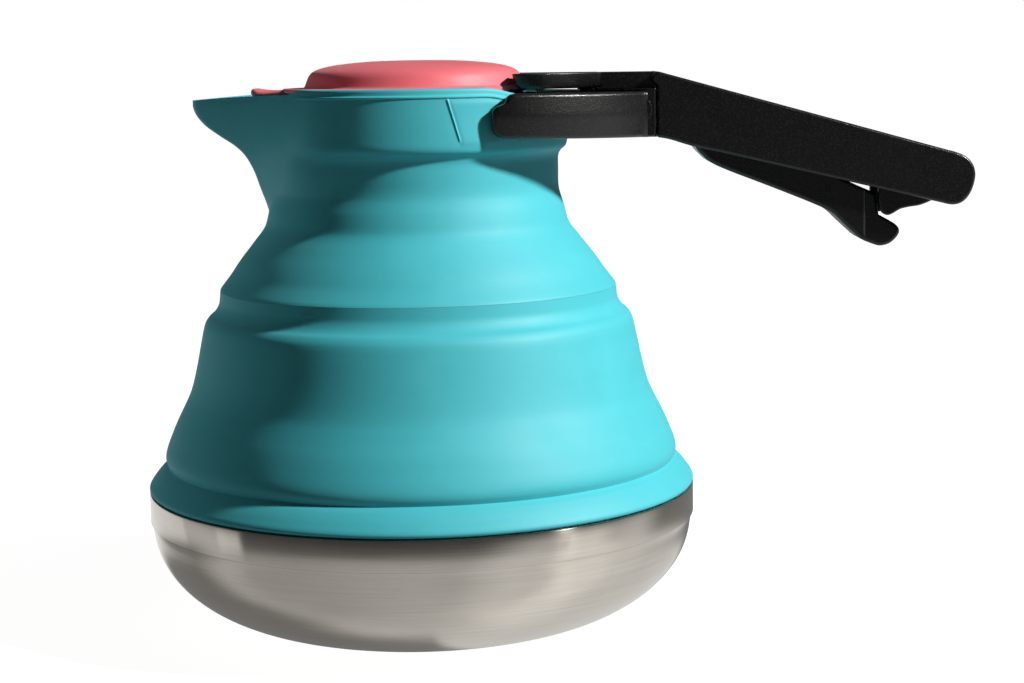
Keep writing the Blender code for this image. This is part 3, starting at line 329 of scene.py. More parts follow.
keel_points = [(42.9, 119.2), (43.3, 120.8), (44.1, 123.4), (45.5, 127.2), (46.9, 131.4),
               (48.6, 135.0), (50.6, 137.8), (53.1, 140.0), (56.1, 142.0), (58.8, 144.1),
               (61.0, 146.3), (63.0, 149.3), (64.0, 151.4), (64.4, 152.9)]
spout_nose = 6.0
lip_radius = 32.6
rebate_radius = 38.5
lip_top = 154.3
lip_low = 152.3
groove_radius = 41.6
ring_seat = 140.0
spout_dip, lip_dip, rear_dip = 1.3, 1.7, 2.2     # how far the rim goes down at each
spout_edge, rear_edge = (40, 46), (42, 62)       # degrees from the spout and from the rear
dipped = (141, 153)                              # heights over which a ring takes the dips
channel_step = 0.35                              # from ring to ring inside the channel
swell_turns, swell_rise = (34, 58), (122, 154)   # where the neck swells under the spout
swell_from = 126
rib_high, rib_low = 152.9, 141.6
rib_turn_high, rib_turn_low = 103.9, 108.3       # degrees round from the spout
rib_middle = (rib_turn_low + rib_turn_high) / 2
rib_proud, rib_spread = 0.34, 0.36
pad_proud, pad_foot, pad_head = 0.22, (139.6, 141.6), (151.6, 153.2)
keel_run = [(reach / mm, height / mm) for reach, height in flowing(keel_points)]


def eased(value, low, high):
    """0 below low and 1 above high, with a smooth step between."""
    share = min(max((value - low) / (high - low), 0.0), 1.0)
    return share * share * (3 - 2 * share)


def keel(height):
    """How far the spout's underside stands from the axis at a height."""
    if height <= keel_run[0][1]:
        return 0.0
    for (near, low), (far, high) in zip(keel_run, keel_run[1:]):
        if height <= high:
            return near + (far - near) * (height - low) / (high - low)
    return keel_run[-1][0]


def beak(turn, radius, reach, nose):
    """Distance from the axis to the hull of the round neck and the spout's nose."""
    centre = reach - nose
    if centre <= radius - nose:
        return radius
    touch = acos((radius - nose) / centre)
    nose_turn = atan2(nose * sin(touch), centre + nose * cos(touch))
    if turn < nose_turn:
        return centre * cos(turn) + sqrt(nose ** 2 - (centre * sin(turn)) ** 2)
    return radius if turn >= touch else radius / cos(turn - touch)


def rim_drop(turn, distance):
    """How far the rim is below its highest, at degrees round from the spout."""
    over_spout = 1 - eased(turn, *spout_edge)
    along = max(distance - collar_radius, 0.0) / (keel_run[-1][0] - collar_radius)
    rear = 1 - eased(180 - turn, *rear_edge)
    return over_spout * spout_dip + along * lip_dip + rear * rear_dip


def rib_line(height):
    """Degrees round from the spout to the leaning rib at a height."""
    share = min(max((height - rib_low) / (rib_high - rib_low), 0.0), 1.0)
    return rib_turn_low + (rib_turn_high - rib_turn_low) * share


def column_turns():
    """Degrees round from the spout to the handle: closer at the nose and at the rib."""
    turns = [n * 0.75 for n in range(20)] + [15 + n * 1.5 for n in range(24)]
    turns += [51 + n * 2.5 for n in range(20)]
    turns = [t for t in turns if t < rib_middle - 4]
    turns += [rib_middle + n for n in (-4, -3, -2, -1.4, -0.95, -0.6, -0.4, -0.2, 0, 0.2, 0.4,
                                       0.6, 0.95, 1.4, 2, 3, 4)]
    return turns + [rib_middle + 4 + (176 - rib_middle) * n / 28 for n in range(1, 29)]


half_turns = column_turns()
all_turns = half_turns + [-t for t in reversed(half_turns[1:-1])]


def section(radius, height, inward=0.0):
    """One ring of the moulding at a height, moved inward by a wall."""
    # Over the spout the collar grows out of the neck slowly and leaves no ledge
    grown = neck_radius + (collar_radius - neck_radius) * eased(height, *swell_rise)
    dip_share = eased(height, *dipped)
    rib_turn = rib_line(height)
    ribbed = eased(height, rib_low - 0.4, rib_low + 0.2)
    ribbed -= eased(height, rib_high - 0.2, rib_high + 0.4)
    padded = eased(height, *pad_foot) - eased(height, *pad_head)
    ring = []
    for signed in all_turns:
        turn = abs(signed)
        turn += (rib_turn - rib_middle) * (1 - eased(abs(turn - rib_middle), 4, 24))
        round_share = eased(turn, *swell_turns) if height > swell_from else 1.0
        side = radius * round_share + grown * (1 - round_share) - inward
        reach = keel(height - rim_drop(turn, collar_radius) * dip_share) - inward
        distance = beak(radians(turn), side, reach, spout_nose - inward / 2)
        level = height - rim_drop(turn, distance) * dip_share
        if not inward:
            distance += rib_proud * ribbed * exp(-((turn - rib_turn) / rib_spread) ** 2)
            # The pad that the yoke's arm lies on starts at the rib
            distance += pad_proud * eased(turn, rib_turn - 0.2, rib_turn + 1.6) * padded
        swing = radians(turn if signed >= 0 else -turn)
        ring.append((-distance * cos(swing) * mm, distance * sin(swing) * mm, level * mm))
    return ring


def mouth_ring(radius, height, count):
    """One ring inside the rim: the lid's seat, and the side of the spout's channel."""
    ring = []
    for signed in all_turns:
        turn = abs(signed)
        widest = beak(radians(turn), collar_radius - collar_wall, keel_run[-1][0] - collar_wall,
                      spout_nose - collar_wall / 2)
        share = eased(turn, *spout_edge)
        side = mouth_height - rim_drop(turn, widest + collar_wall) - channel_step * count
        level = min(height, mouth_height - rim_drop(turn, radius))
        distance = widest + (radius - widest) * share
        ring.append((-distance * cos(radians(signed)) * mm, distance * sin(radians(signed)) * mm,
                     (side + (level - side) * share) * mm))
    return ring


rings = [section(r / mm, z / mm) for r, z in flowing(cone_points) + flowing(collar_points)[:-1]]
rings += [section(r / mm, z / mm) for r, z in flowing(bead_points, 3)]
for count, (radius, height) in enumerate((
        (rebate_radius + 0.5, mouth_height), (rebate_radius, mouth_height - 0.4),
        (rebate_radius, lip_top), (lip_radius + 0.3, lip_top), (lip_radius, lip_top - 0.3),
        (lip_radius, lip_low + 0.3), (lip_radius + 0.3, lip_low), (groove_radius, lip_low))):
    rings.append(mouth_ring(radius, height, count))
rings += [section(groove_radius + collar_wall, z, inward=collar_wall)
          for z in (150.5, 148, 145, 142.5, ring_seat)]
rings += [section(neck_radius, z, inward=skin_wall) for z in (139.4, 136.0)]
rings += [section(r / mm, z / mm, inward=skin_wall) for r, z in reversed(flowing(cone_points, 2))]
shape = bmesh.new()
loft(shape, rings, closed=True)
neck = piece_of("neck_and_spout", shape, turquoise, sharp=42)
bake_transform(neck)
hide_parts("silicone_cone", "silicone_neck")

# The lid: a coral silicone dome whose flange lies in the collar's seat, with a plug that
# grips the mouth and a tongue over the spout to pull it up by.
dome_points = [(0.01, 163.5), (4.0, 163.48), (9.0, 163.4), (14.0, 163.2), (19.0, 162.8),
               (23.5, 162.25), (27.0, 161.5), (29.2, 160.6), (30.3, 159.6), (30.9, 158.5),
               (31.4, 157.2), (31.8, 156.3), (32.3, 155.9)]
plug_points = [(31.4, 154.5), (31.4, 151.6), (31.1, 150.75), (30.3, 150.6), (29.6, 151.0),
               (29.5, 153.0), (29.4, 156.0), (28.9, 158.0), (27.6, 159.0), (24.0, 160.1),
               (18.0, 160.8), (9.0, 161.3), (0.01, 161.4)]
flange_low = 154.6
flange_inner, flange_wide = 32.5, 5.4
coral = soft_silicone("coral_silicone", (0.76, 0.135, 0.165), (0.86, 0.185, 0.215), rough=0.48)


def flange_reach(turn):
    """The flange's radius in millimetres: none at the rear, under the keeper."""
    return flange_inner + flange_wide * eased(abs(turn), 48, 60)


lid_turns = 144
shape = bmesh.new()
lid_rings = [turned_ring(r, z, lid_turns) for r, z in flowing(dome_points)]
for inset, height in ((0.0, 155.85), (0.0, 155.75), (0.0, flange_low + 0.15), (0.3, flange_low)):
    ring = []
    for n in range(lid_turns):
        turn = 2 * pi * n / lid_turns
        reach = (flange_reach(degrees(turn if turn < pi else turn - 2 * pi)) - inset) * mm
        ring.append((reach * cos(turn), reach * sin(turn), height * mm))
    lid_rings.append(ring)
lid_rings += [turned_ring(r, z, lid_turns) for r, z in flowing(plug_points, 3)]
loft(shape, lid_rings)
lid = piece_of("lid_dome", shape, coral, sharp=50)

tongue_stations = [(-34.0, 8.6, 154.7, 155.85), (-36.6, 7.9, 153.9, 155.75),
                   (-39.0, 6.9, 153.8, 155.5), (-41.5, 6.2, 153.8, 155.5),
                   (-44.0, 6.1, 153.75, 155.75), (-45.6, 5.9, 153.75, 156.05),
                   (-46.5, 5.2, 153.9, 156.0), (-47.0, 4.0, 154.3, 155.6)]


def tongue_ring(x, half, low, high, points=28):
    """One cross-section of the tongue: a flattened round."""
    middle, rise = (low + high) / 2, (high - low) / 2
    ring = []
    for n in range(points):
        turn = 2 * pi * n / points
        across = (abs(cos(turn)) ** 0.45) * (1 if cos(turn) > 0 else -1)
        upward = (abs(sin(turn)) ** 0.6) * (1 if sin(turn) > 0 else -1)
        ring.append((x * mm, half * across * mm, (middle + rise * upward) * mm))
    return ring


tongue_run = [tuple(value / mm for value in station) for station in flowing(tongue_stations)]
tongue = piece_of("lid_tongue", capped([tongue_ring(*station) for station in tongue_run]), coral,
                  sharp=50)
for piece in (lid, tongue):
    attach(piece, "lid_body")
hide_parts("lid")

# The strap: the thin tail of the lid's moulding, clamped under the keeper. It is what
# the lid bends on.
strap_low, strap_high = 155.0, 156.1
strap_half = [(31.2, 0.0), (31.0, 6.0), (30.0, 10.5), (28.4, 15.0), (27.4, 18.0),
              (34.0, 13.2), (40.2, 8.4), (46.0, 8.0), (53.0, 8.0), (53.0, 0.0)]
plan = strap_half + [(x, -y) for x, y in reversed(strap_half) if y > 0]
shape = capped([[(x * mm, y * mm, z * mm) for x, y in plan] for z in (strap_low, strap_high)])
bmesh.ops.triangulate(shape, faces=[f for f in shape.faces if len(f.verts) > 4])
bmesh.ops.subdivide_edges(shape, edges=shape.edges, cuts=3, use_grid_fill=True)
strap = piece_of("lid_tail", shape, coral)
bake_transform(strap)
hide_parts("lid_strap")

# The yoke: a black nylon moulding screwed on from inside the collar. Two arms with a ridge
# along the middle and stepped, rounded tips clasp the collar; behind them are the hinge
# block and a slotted tongue that locks the handle. It has a fine sparked grain.
arm_levels = (141.2, 147.5, 153.8)              # underside, ridge and top of the arms
arm_slant = 0.75                                # of both facets, in from the ridge
arm_seat = 44.3
arm_rear = 66.4
arm_pulls = ((22.5, 41.9), (34.5, 41.9), (53.5, 32.8), (66.4, 16.8))
foot_tilt, foot_back, top_tilt = 1.2, 0.25, 0.38   # the arms rise a little towards the tips
tip_points = [(26.0, 141.2), (24.4, 141.45), (23.3, 142.2), (22.7, 143.3), (22.5, 144.8),
              (22.5, 148.0), (22.7, 149.2), (23.5, 150.1), (24.9, 150.7), (25.9, 151.3),
              (26.3, 152.2), (26.8, 153.1), (27.6, 153.6), (28.8, 153.8)]
hinge_place = hinge_x, hinge_z = (69.8, 157.3)
knuckle_round = 2.0
pin_bore, screw_bore, head_bore = 1.3, 1.6, 2.8
yoke_screws = ((50.5, 12.0), (50.5, -12.0))


def sparked_nylon(name, deep, pale, rough):
    """Nylon from a sparked mould: a fine pitted grain, and pale specks in its colour that are
    painted glints of light.
    """
    made, place, feed = finish_of(name, Specular_IOR_Level=0.50)
    grain = place.noise(3400.0, 2.0, 0.7)
    pits = place.add("TexVoronoi", Vector=place, Scale=3000.0)
    cloud = place.noise(70.0, 4.0, 0.6)
    # Painted glints: pale specks in the base colour that stand in for the sparkle of the light
    painted_glints = place.noise(3200.0, 1.0, 0.3).step(0.58, 0.68)
    feed(Base_Color=(cloud * 0.08 + painted_glints * 0.92).colours((*deep, 1.0), (*pale, 1.0)),
         Roughness=grain * 0.16 + cloud * 0.06 + rough,
         Normal=(grain * 0.8 + pits * 0.4).bump(0.80, 0.07 * mm))
    return made


# The second colour is that of the painted glints, with a little of the cloud
nylon = sparked_nylon("sparked_black_nylon",
                      (0.002, 0.0024, 0.0024), (0.018, 0.0178, 0.017), 0.18)


def corner(depth, radius):
    """How far a rounded corner stands back, at a depth below its end."""
    return radius - sqrt(radius ** 2 - (radius - depth) ** 2) if depth < radius else 0.0


def rounded(corners, steps=6):
    """A closed outline from corners (across, up, radius) in millimetres, each one rounded."""
    run = []
    for n, (across, up, radius) in enumerate(corners):
        here = Vector((across, up)) * mm
        before = Vector(corners[n - 1][:2]) * mm - here
        after = Vector(corners[(n + 1) % len(corners)][:2]) * mm - here
        back = 0.0
        if radius:
            back = min(radius * mm / tan(before.angle(after) / 2),
                       0.48 * min(before.length, after.length))
        for k in range(steps + 1 if radius else 1):
            t = k / steps
            run.append(tuple(here + before.normalized() * back * (1 - t) ** 2
                             + after.normalized() * back * t * t))
    return run


def prism(outline, low, high, across="Z", edge=0.0, steps=3):
    """A solid with one outline, in plan or in side view, and rounded edges at its two ends."""
    count = len(outline)
    places = [Vector(place) for place in outline]
    area = sum(a.x * b.y - b.x * a.y for a, b in zip(places, places[1:] + places[:1]))
    inward = []
    for n in range(count):
        sides = [(places[n] - places[n - 1]), (places[(n + 1) % count] - places[n])]
        sides = [Vector((-side.y, side.x)).normalized() * (1 if area > 0 else -1) for side in sides]
        inward.append((sides[0] + sides[1]) / max(1 + sides[0].dot(sides[1]), 0.4))
    levels = [(edge * (1 - cos(pi / 2 * k / steps)), edge * (1 - sin(pi / 2 * k / steps)))
              for k in range(steps + 1)] if edge else [(0.0, 0.0)]
    stack = [(low * mm + rise * mm, inset * mm) for rise, inset in levels]
    stack += [(high * mm - rise * mm, inset * mm) for rise, inset in reversed(levels)]
    rings = []
    for level, inset in stack:
        flat = [place + way * inset for place, way in zip(places, inward)]
        rings.append([(p.x, p.y, level) if across == "Z" else (p.x, level, p.y) for p in flat])
    shape = capped(rings)
    bmesh.ops.recalc_face_normals(shape, faces=shape.faces)
    return shape


def bore(place, radius, low, high, across="Y"):
    """A round solid for a hole, about a place in side view or in plan."""
    turns = [2 * pi * n / 32 for n in range(32)]
    outline = [(place[0] + radius * cos(t), place[1] + radius * sin(t)) for t in turns]
    return prism(in_metres(outline), low, high, across)


def screw_hole(place, low, seat, high):
    """An upright screw hole from below, wide for the screw's head up to its seat."""
    steps = ((head_bore, low), (head_bore, seat), (screw_bore, seat), (screw_bore, high))
    return capped([[(place[0] * mm + x, place[1] * mm + y, z)
                    for x, y, z in turned_ring(radius * mm, height * mm, 32)]
                   for radius, height in steps])


def moulding(name, finish, solid, joined=(), cut=(), studs=()):
    """A moulding: solids joined to the first one, then cut by others; studs stand on it."""
    made = piece_of(name, solid, finish)
    tools = []
    for operation, shapes in (("UNION", joined), ("DIFFERENCE", cut)):
        for shape in shapes:
            tools.append(piece_of("tool", shape, finish))
            step = made.modifiers.new("step", "BOOLEAN")
            step.operation, step.solver, step.object = operation, "EXACT", tools[-1]
    graph = bpy.context.evaluated_depsgraph_get()
    whole = bpy.data.meshes.new_from_object(made.evaluated_get(graph))
    made.modifiers.clear()
    made.data = whole
    for tool in tools:
        bpy.data.objects.remove(tool)
    if studs:
        shape = bmesh.new()
        shape.from_mesh(whole)
        for stud in studs:
            grown = bpy.data.meshes.new("stud")
            stud.to_mesh(grown)
            shape.from_mesh(grown)
        shape.to_mesh(whole)
        shape.free()
    whole.name = name
    whole.shade_smooth()
    whole.set_sharp_from_angle(angle=radians(35))
    made.modifiers.new("flat faces stay flat", "WEIGHTED_NORMAL").keep_sharp = True
    return made


def arm_side(t, inset):
    """The arms' outer side in plan, from the tip to the rear, moved in by an inset."""
    a, b, c, d = (Vector(pull) for pull in arm_pulls)
    place = a * (1 - t) ** 3 + b * 3 * t * (1 - t) ** 2 + c * 3 * t * t * (1 - t) + d * t ** 3
    way = ((b - a) * (1 - t) ** 2 + (c - b) * 2 * t * (1 - t) + (d - c) * t * t).normalized()
    return Vector((min(place.x + way.y * inset, arm_rear), place.y - way.x * inset))


def arms_ring(tip, height):
    """Both arms at one height, from the middle round one tip and back along the outside."""
    low, ridge, high = arm_levels
    away = sqrt((height - ridge) ** 2 + 0.25) - 0.5
    inset = arm_slant * max(away, 0.0) / (high - ridge)
    inset += corner(min(height - low, high - height), 0.9)
    spread = acos((tip + 0.2) / arm_seat)
    half = [Vector((arm_seat * cos(spread * n / 40), arm_seat * sin(spread * n / 40)))
            for n in range(41)]
    t = 0.0
    while arm_side(t, inset).x < tip + 1.5:
        t += 0.002
    start, pull = arm_side(t, inset), Vector((tip, arm_side(t, inset).y + 0.1))
    foot = Vector((tip, start.y - 1.6))
    half += [foot * (1 - k / 6) ** 2 + pull * 2 * k / 6 * (1 - k / 6) + start * (k / 6) ** 2
             for k in range(6)]
    half += [arm_side(t + (1 - t) * n / 48, inset) for n in range(48)]
    half += [Vector((arm_rear, arm_side(1.0, inset).y))]
    ring = []
    for place in half + [Vector((p.x, -p.y)) for p in reversed(half) if p.y > 0.01]:
        share = (arm_rear - place.x) / (arm_rear - arm_pulls[0][0])
        foot_share = (high - height) / (high - low)
        tilt = foot_share * (foot_tilt * share - foot_back)
        tilt += (1 - foot_share) * top_tilt * share
        ring.append((place.x * mm, place.y * mm, (height + tilt) * mm))
    return ring


def pocket_plan(side, start=24, end=50, inner_radius=47.3, outer_wall=3.7):
    """The lightening pocket under one arm, in plan, between two turns round the axis."""
    turns = [radians(start + (end - start) * n / 10) for n in range(11)]
    inner = [Vector((inner_radius * cos(t), inner_radius * sin(t))) for t in turns]
    outer = [arm_side(n / 40, outer_wall) for n in range(41)]
    outer = [p for p in outer
             if radians(start) < atan2(p.y, p.x) < radians(end) and p.length > 48]
    return [(p.x * mm, side * p.y * mm) for p in inner + outer]


arms = capped([arms_ring(tip / mm, height / mm) for tip, height in flowing(tip_points)])
block = rounded([(47.5, 141.9, 0), (47.5, 154.7, 0.4), (69.0, 154.7, 0.5), (69.0, 141.0, 1.2)])
knuckle = [(53.6, 154.0), (69.0, 154.0)]
knuckle += [(hinge_x + knuckle_round * cos(radians(t)), hinge_z + knuckle_round * sin(radians(t)))
            for t in range(-112, 91, 12)]
knuckle += [(53.6, 159.3)]
tongue = rounded([(57.5, -6.0, 0), (78.3, -6.0, 2.0), (78.3, 6.0, 2.0), (57.5, 6.0, 0)])
side_tab = rounded([(65.6, 146.0, 0.3), (67.0, 146.2, 1.0), (67.7, 148.8, 2.0), (67.0, 151.3, 1.0),
                    (65.6, 151.4, 0.3)])
well = rounded([(52.0, -6.5, 1), (57.5, -6.5, 1), (57.5, 6.5, 1), (52.0, 6.5, 1)])
slot = rounded([(73.0, -4.3, 0.5), (76.9, -4.3, 0.5), (76.9, 4.3, 0.5), (73.0, 4.3, 0.5)])
yoke = moulding(
    "yoke", nylon, arms,
    joined=[prism(block, -12.0, 12.0, "Y", 0.4), prism(in_metres(knuckle), -8.6, 8.6, "Y", 0.3),
            prism(tongue, 140.6, 143.0, "Z", 0.4)],
    studs=[prism(side_tab, 12.4, 16.9, "Y", 0.25), prism(side_tab, -16.9, -12.4, "Y", 0.25)],
    cut=[prism(pocket_plan(1), 138.0, 150.2), prism(pocket_plan(-1), 138.0, 150.2),
         prism(well, 137.0, 150.2), prism(slot, 139.0, 144.0),
         bore(hinge_place, pin_bore, -12.5, 12.5)]
    + [screw_hole(screw, 138.0, 149.0, 156.0) for screw in yoke_screws])
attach(yoke, "top")
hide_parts("handle_yoke")

# The keeper: the black nylon plate over the yoke, screwed up from below, that clamps the
# lid's strap. It is hollowed round the dome, with two horns beside it and a foot under each.
keeper_levels = [(155.0, 30.9, 1.2), (155.15, 30.3, 0.9), (155.5, 29.7, 0.65), (156.0, 29.3, 0.5),
                 (157.2, 28.8, 0.3), (158.6, 28.35, 0.05), (159.0, 28.25, 0.0), (159.2, 28.3, 0.1),
                 (159.3, 28.5, 0.35)]           # height, front and undercut
keeper_side = [(30.4, 22.1), (33.5, 22.1), (37.5, 21.2), (42.0, 19.2), (47.0, 16.9), (53.3, 15.1)]
keeper_hollow = 33.0


def keeper_ring(height, front, inset):
    """The plate's outline at one height, round the hollow and back along both sides."""
    spread = acos((front + 0.9) / keeper_hollow)
    half = [Vector((keeper_hollow * cos(spread * n / 20), keeper_hollow * sin(spread * n / 20)))
            for n in range(21)]
    half += [Vector((front + 0.2, half[-1].y + 0.5)), Vector((front, half[-1].y + 1.1)),
             Vector((front, 20.4 - inset)), Vector((front + 0.35, 21.3 - inset)),
             Vector((front + 1.1, 21.9 - inset))]
    half += [Vector((max(x / mm, front + 1.8), y / mm - inset)) for x, y in flowing(keeper_side)]
    return [(p.x * mm, p.y * mm, height * mm)
            for p in half + [Vector((p.x, -p.y)) for p in reversed(half) if p.y > 0.01]]


foot = [(35.0, 16.8, 0.5), (37.3, 16.8, 0.5), (37.3, 20.2, 0.5), (35.0, 20.8, 0.5)]
pocket = [(20.0, 19.0), (27.6, 19.0), (34.2, 13.7), (40.4, 8.8), (46.0, 8.35), (53.35, 8.35)]
pocket += [(x, -y) for x, y in reversed(pocket)]
keeper = moulding(
    "keeper", nylon, capped([keeper_ring(*level) for level in keeper_levels]),
    joined=[prism(rounded([(x, side * y, r) for x, y, r in foot]), 154.1, 156.5)
            for side in (1, -1)],
    cut=[prism(in_metres(pocket), 150.0, 156.5)]
    + [bore(screw, screw_bore, 154.0, 157.7, "Z") for screw in yoke_screws])
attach(keeper, "top")
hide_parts("lid_keeper")

# The handle arm: a black nylon moulding, a long channel open underneath with a rounded
# far end. It folds up over the lid on a steel pin through the yoke's hinge block.
arm_slope = -0.2831
arm_tip = [(152.4, 135.92), (155.2, 135.1), (157.9, 133.8), (159.7, 131.7), (160.45, 129.2),
           (160.2, 126.6), (159.3, 123.9), (157.9, 121.8), (156.0, 120.5), (153.6, 120.2),
           (151.0, 120.78)]
arm_under = [(90.0, 135.55), (81.0, 137.65), (77.5, 138.6), (74.0, 139.75), (71.6, 140.35),
             (69.9, 140.6)]
arm_inside = (-9.0, 9.0)
pivot = (84.5, 139.3)
pivot_bore = 1.5
guide_hole = (148.35, 0.0)


def arm_top(x, drop=0.0):
    """The height of the arm's sloping top, less a drop."""
    return hinge_z + knuckle_round + arm_slope * (x - hinge_x) - drop


rear = [(69.3, 141.2), (69.3, 155.3)]
rear += [(hinge_x + knuckle_round * cos(radians(t)), hinge_z + knuckle_round * sin(radians(t)))
         for t in range(200, 74, -12)]
outline = in_metres(rear) + flowing(arm_tip) + flowing(arm_under)
channel = [(72.0, 117.0), (72.0, arm_top(72.0, 7.6)), (87.4, arm_top(87.4, 7.6)),
           (90.4, arm_top(90.4, 3.0)), (157.2, arm_top(157.2, 3.6)), (157.2, 117.0)]
recess = [(65.0, 154.7), (69.8, 154.7), (87.4, arm_top(87.4, 4.6)), (87.4, 162.0), (65.0, 162.0)]
rear_slot = [(68.0, 119.0), (73.0, 119.0), (73.0, 143.4), (68.0, 143.4)]
arm = moulding(
    "arm", nylon, prism(outline, -12.0, 12.0, "Y", 0.9, 4),
    cut=[prism(in_metres(cutter), *arm_inside, "Y") for cutter in (channel, recess, rear_slot)]
    + [bore(hinge_place, pin_bore, -11.3, 11.3), bore(pivot, pivot_bore, -11.0, 11.0),
       bore(guide_hole, screw_bore, 117.0, 134.6, "Z")])
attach(arm, "arm")
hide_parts("handle_arm")

# The end guide: a black nylon fork inside the arm's far end, where one screw holds it from
# below. The end of the squeeze lever slides between its two sides.
guide_low = [(133.3, 121.6), (133.7, 119.4), (134.6, 117.8), (135.9, 117.2), (137.3, 117.6),
             (139.6, 118.9), (142.2, 119.5), (145.2, 119.95), (148.2, 121.1), (150.6, 122.5),
             (152.7, 123.9)]
guide_high = [(152.7, arm_top(152.7, 3.4)), (144.0, arm_top(144.0, 3.4)), (144.0, 126.8),
              (134.5, 126.8), (133.4, 124.8)]
fork = [(132.0, 116.0), (143.5, 116.0), (143.5, 134.0), (132.0, 134.0)]
end_guide = moulding(
    "fork_guide", nylon, prism(flowing(guide_low) + in_metres(guide_high), -8.7, 8.7, "Y", 0.6),
    cut=[prism(in_metres(fork), -6.3, 6.3, "Y"), screw_hole(guide_hole, 115.0, 122.6, 136.0)])
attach(end_guide, "arm")
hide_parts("end_guide")

# The squeeze lever: a hollow black nylon grip that turns on a steel pin under the arm. Its
# nose drops into the yoke's slot, and its narrow far end is a lobe that slides in the fork.
lever_reach = 55.4
lever_low = [(-0.094, 0.027), (-0.070, -0.031), (-0.038, -0.070), (0.016, -0.1155),
             (0.120, -0.163), (0.242, -0.211), (0.400, -0.274), (0.560, -0.341), (0.639, -0.381),
             (0.697, -0.435), (0.753, -0.487), (0.798, -0.525), (0.856, -0.551), (0.903, -0.563),
             (0.953, -0.549), (0.991, -0.513), (1.0, -0.480), (0.975, -0.447), (0.892, -0.399)]
lever_high = [(0.877, -0.287), (0.745, -0.229), (0.50, -0.105), (0.28, -0.010), (0.10, 0.075),
              (-0.02, 0.095), (-0.080, 0.093)]
lever_wide = 129.8
lever_line = [tuple(p / mm for p in place) for places in (lever_low, lever_high)
              for place in flowing([(pivot[0] + lever_reach * along, pivot[1] + lever_reach * up)
                                    for along, up in places])]


def lever_slice(low, high):
    """The lever's outline between two places along it."""
    run = []
    for (x0, z0), (x1, z1) in zip(lever_line, lever_line[1:] + lever_line[:1]):
        if low <= x0 <= high:
            run.append((x0 * mm, z0 * mm))
        for limit in (low, high) if x1 > x0 else (high, low):
            if (x0 - limit) * (x1 - limit) < 0:
                run.append((limit * mm, (z0 + (z1 - z0) * (limit - x0) / (x1 - x0)) * mm))
    return run


nose = rounded([(74.2, 143.4, 0.3), (76.1, 143.4, 0.3), (77.2, 144.5, 0.4), (81.0, 144.5, 0),
                (81.0, 146.2, 0), (76.1, 146.8, 1.0), (74.7, 146.8, 0.8)])
hollow = [(81.5, 150.4), (81.5, 139.3), (82.4, 137.2), (84.5, 136.3), (97.9, 129.8),
          (116.4, 122.3), (119.9, 120.4), (123.1, 117.4), (126.2, 114.8), (126.6, 115.2),
          (126.6, 150.4)]
lever = moulding(
    "grip_lever", nylon, prism(lever_slice(60.0, lever_wide), -8.4, 8.4, "Y", 1.1, 4),
    joined=[prism(lever_slice(lever_wide - 3.0, 150.0), -5.9, 5.9, "Y", 1.0, 4),
            prism(nose, -4.0, 4.0, "Y", 0.3)],
    cut=[prism(in_metres(hollow), -6.4, 6.4, "Y"), bore(pivot, pivot_bore, -9.0, 9.0)])
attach(lever, "lever")
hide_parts("squeeze_lever")

# The neck ring: a stiff grey nylon ring inside the collar, open towards the spout, that the
# yoke is screwed to. It is plain, so the imported solid stays and only gets rounded edges.
# Its paler colour goes to the painted glints of the nylon finish, and a little to the cloud
neck_ring = dress("neck_ring", sparked_nylon("grey_ring_nylon", (0.05, 0.05, 0.052),
                                             (0.09, 0.09, 0.092), 0.34))
flat = neck_ring.modifiers.new("flat faces", "DECIMATE")
flat.decimate_type = "DISSOLVE"
flat.angle_limit = radians(1.5)
edge = neck_ring.modifiers.new("rounded edges", "BEVEL")
edge.width = 0.3 * mm
edge.segments = 3
edge.limit_method = "ANGLE"
edge.angle_limit = radians(35)
edge.harden_normals = True
neck_ring.data.shade_smooth()

# Pins and screws: small bright steel pieces, turned and headed. The two pins carry the arm
# and the lever, and the screws hold the yoke, the keeper and the end guide.
small_steel = brushed("turned_bright_steel", (0.52, 0.51, 0.50), (0.70, 0.69, 0.68), 0.16)
for node in ("hinge_pin", "lever_pin", "guide_screw", "keeper_screw_1", "keeper_screw_2",
             "band_screw_1", "band_screw_2", "band_screw_3", "band_screw_4"):
    small = dress(node, small_steel)
    small.data.shade_smooth()
    small.data.set_sharp_from_angle(angle=radians(35))

# The lever's spring: hard steel wire wound three times round the lever's pin. One leg
# lies under the arm and the other on the lever's floor, so it winds up between them.
wire = 0.4
wire_sides = 10
coil_radius, coil_pitch = 2.1, 1.25
coil_from, coil_to = radians(115), radians(247) + 6 * pi
coil_steps = 60
upper_leg, lower_leg = 15.0, 11.0
coil = []
for n in range(coil_steps + 1):
    turn = coil_from + (coil_to - coil_from) * n / coil_steps
    along = coil_pitch * (turn - (coil_from + coil_to) / 2) / (2 * pi)
    coil.append(Vector((pivot[0] + coil_radius * cos(turn), along,
                        pivot[1] + coil_radius * sin(turn))))
upper = coil[0] + Vector((sin(coil_from), 0, -cos(coil_from))) * upper_leg
lower = coil[-1] + Vector((-sin(coil_to), 0, cos(coil_to))) * lower_leg
run = [upper] + coil + [lower]
rings = []
for before, here, after in zip(run[:1] + run, run, run[1:] + run[-1:]):
    way = (after - before).normalized()
    aside = way.cross(Vector((0, 1, 0))).normalized()
    up = way.cross(aside)
    sides = [2 * pi * n / wire_sides for n in range(wire_sides)]
    rings.append([(here + (aside * cos(t) + up * sin(t)) * wire) * mm for t in sides])
spring = piece_of("wound_spring", capped(rings), small_steel)
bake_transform(spring)
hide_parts("lever_spring")

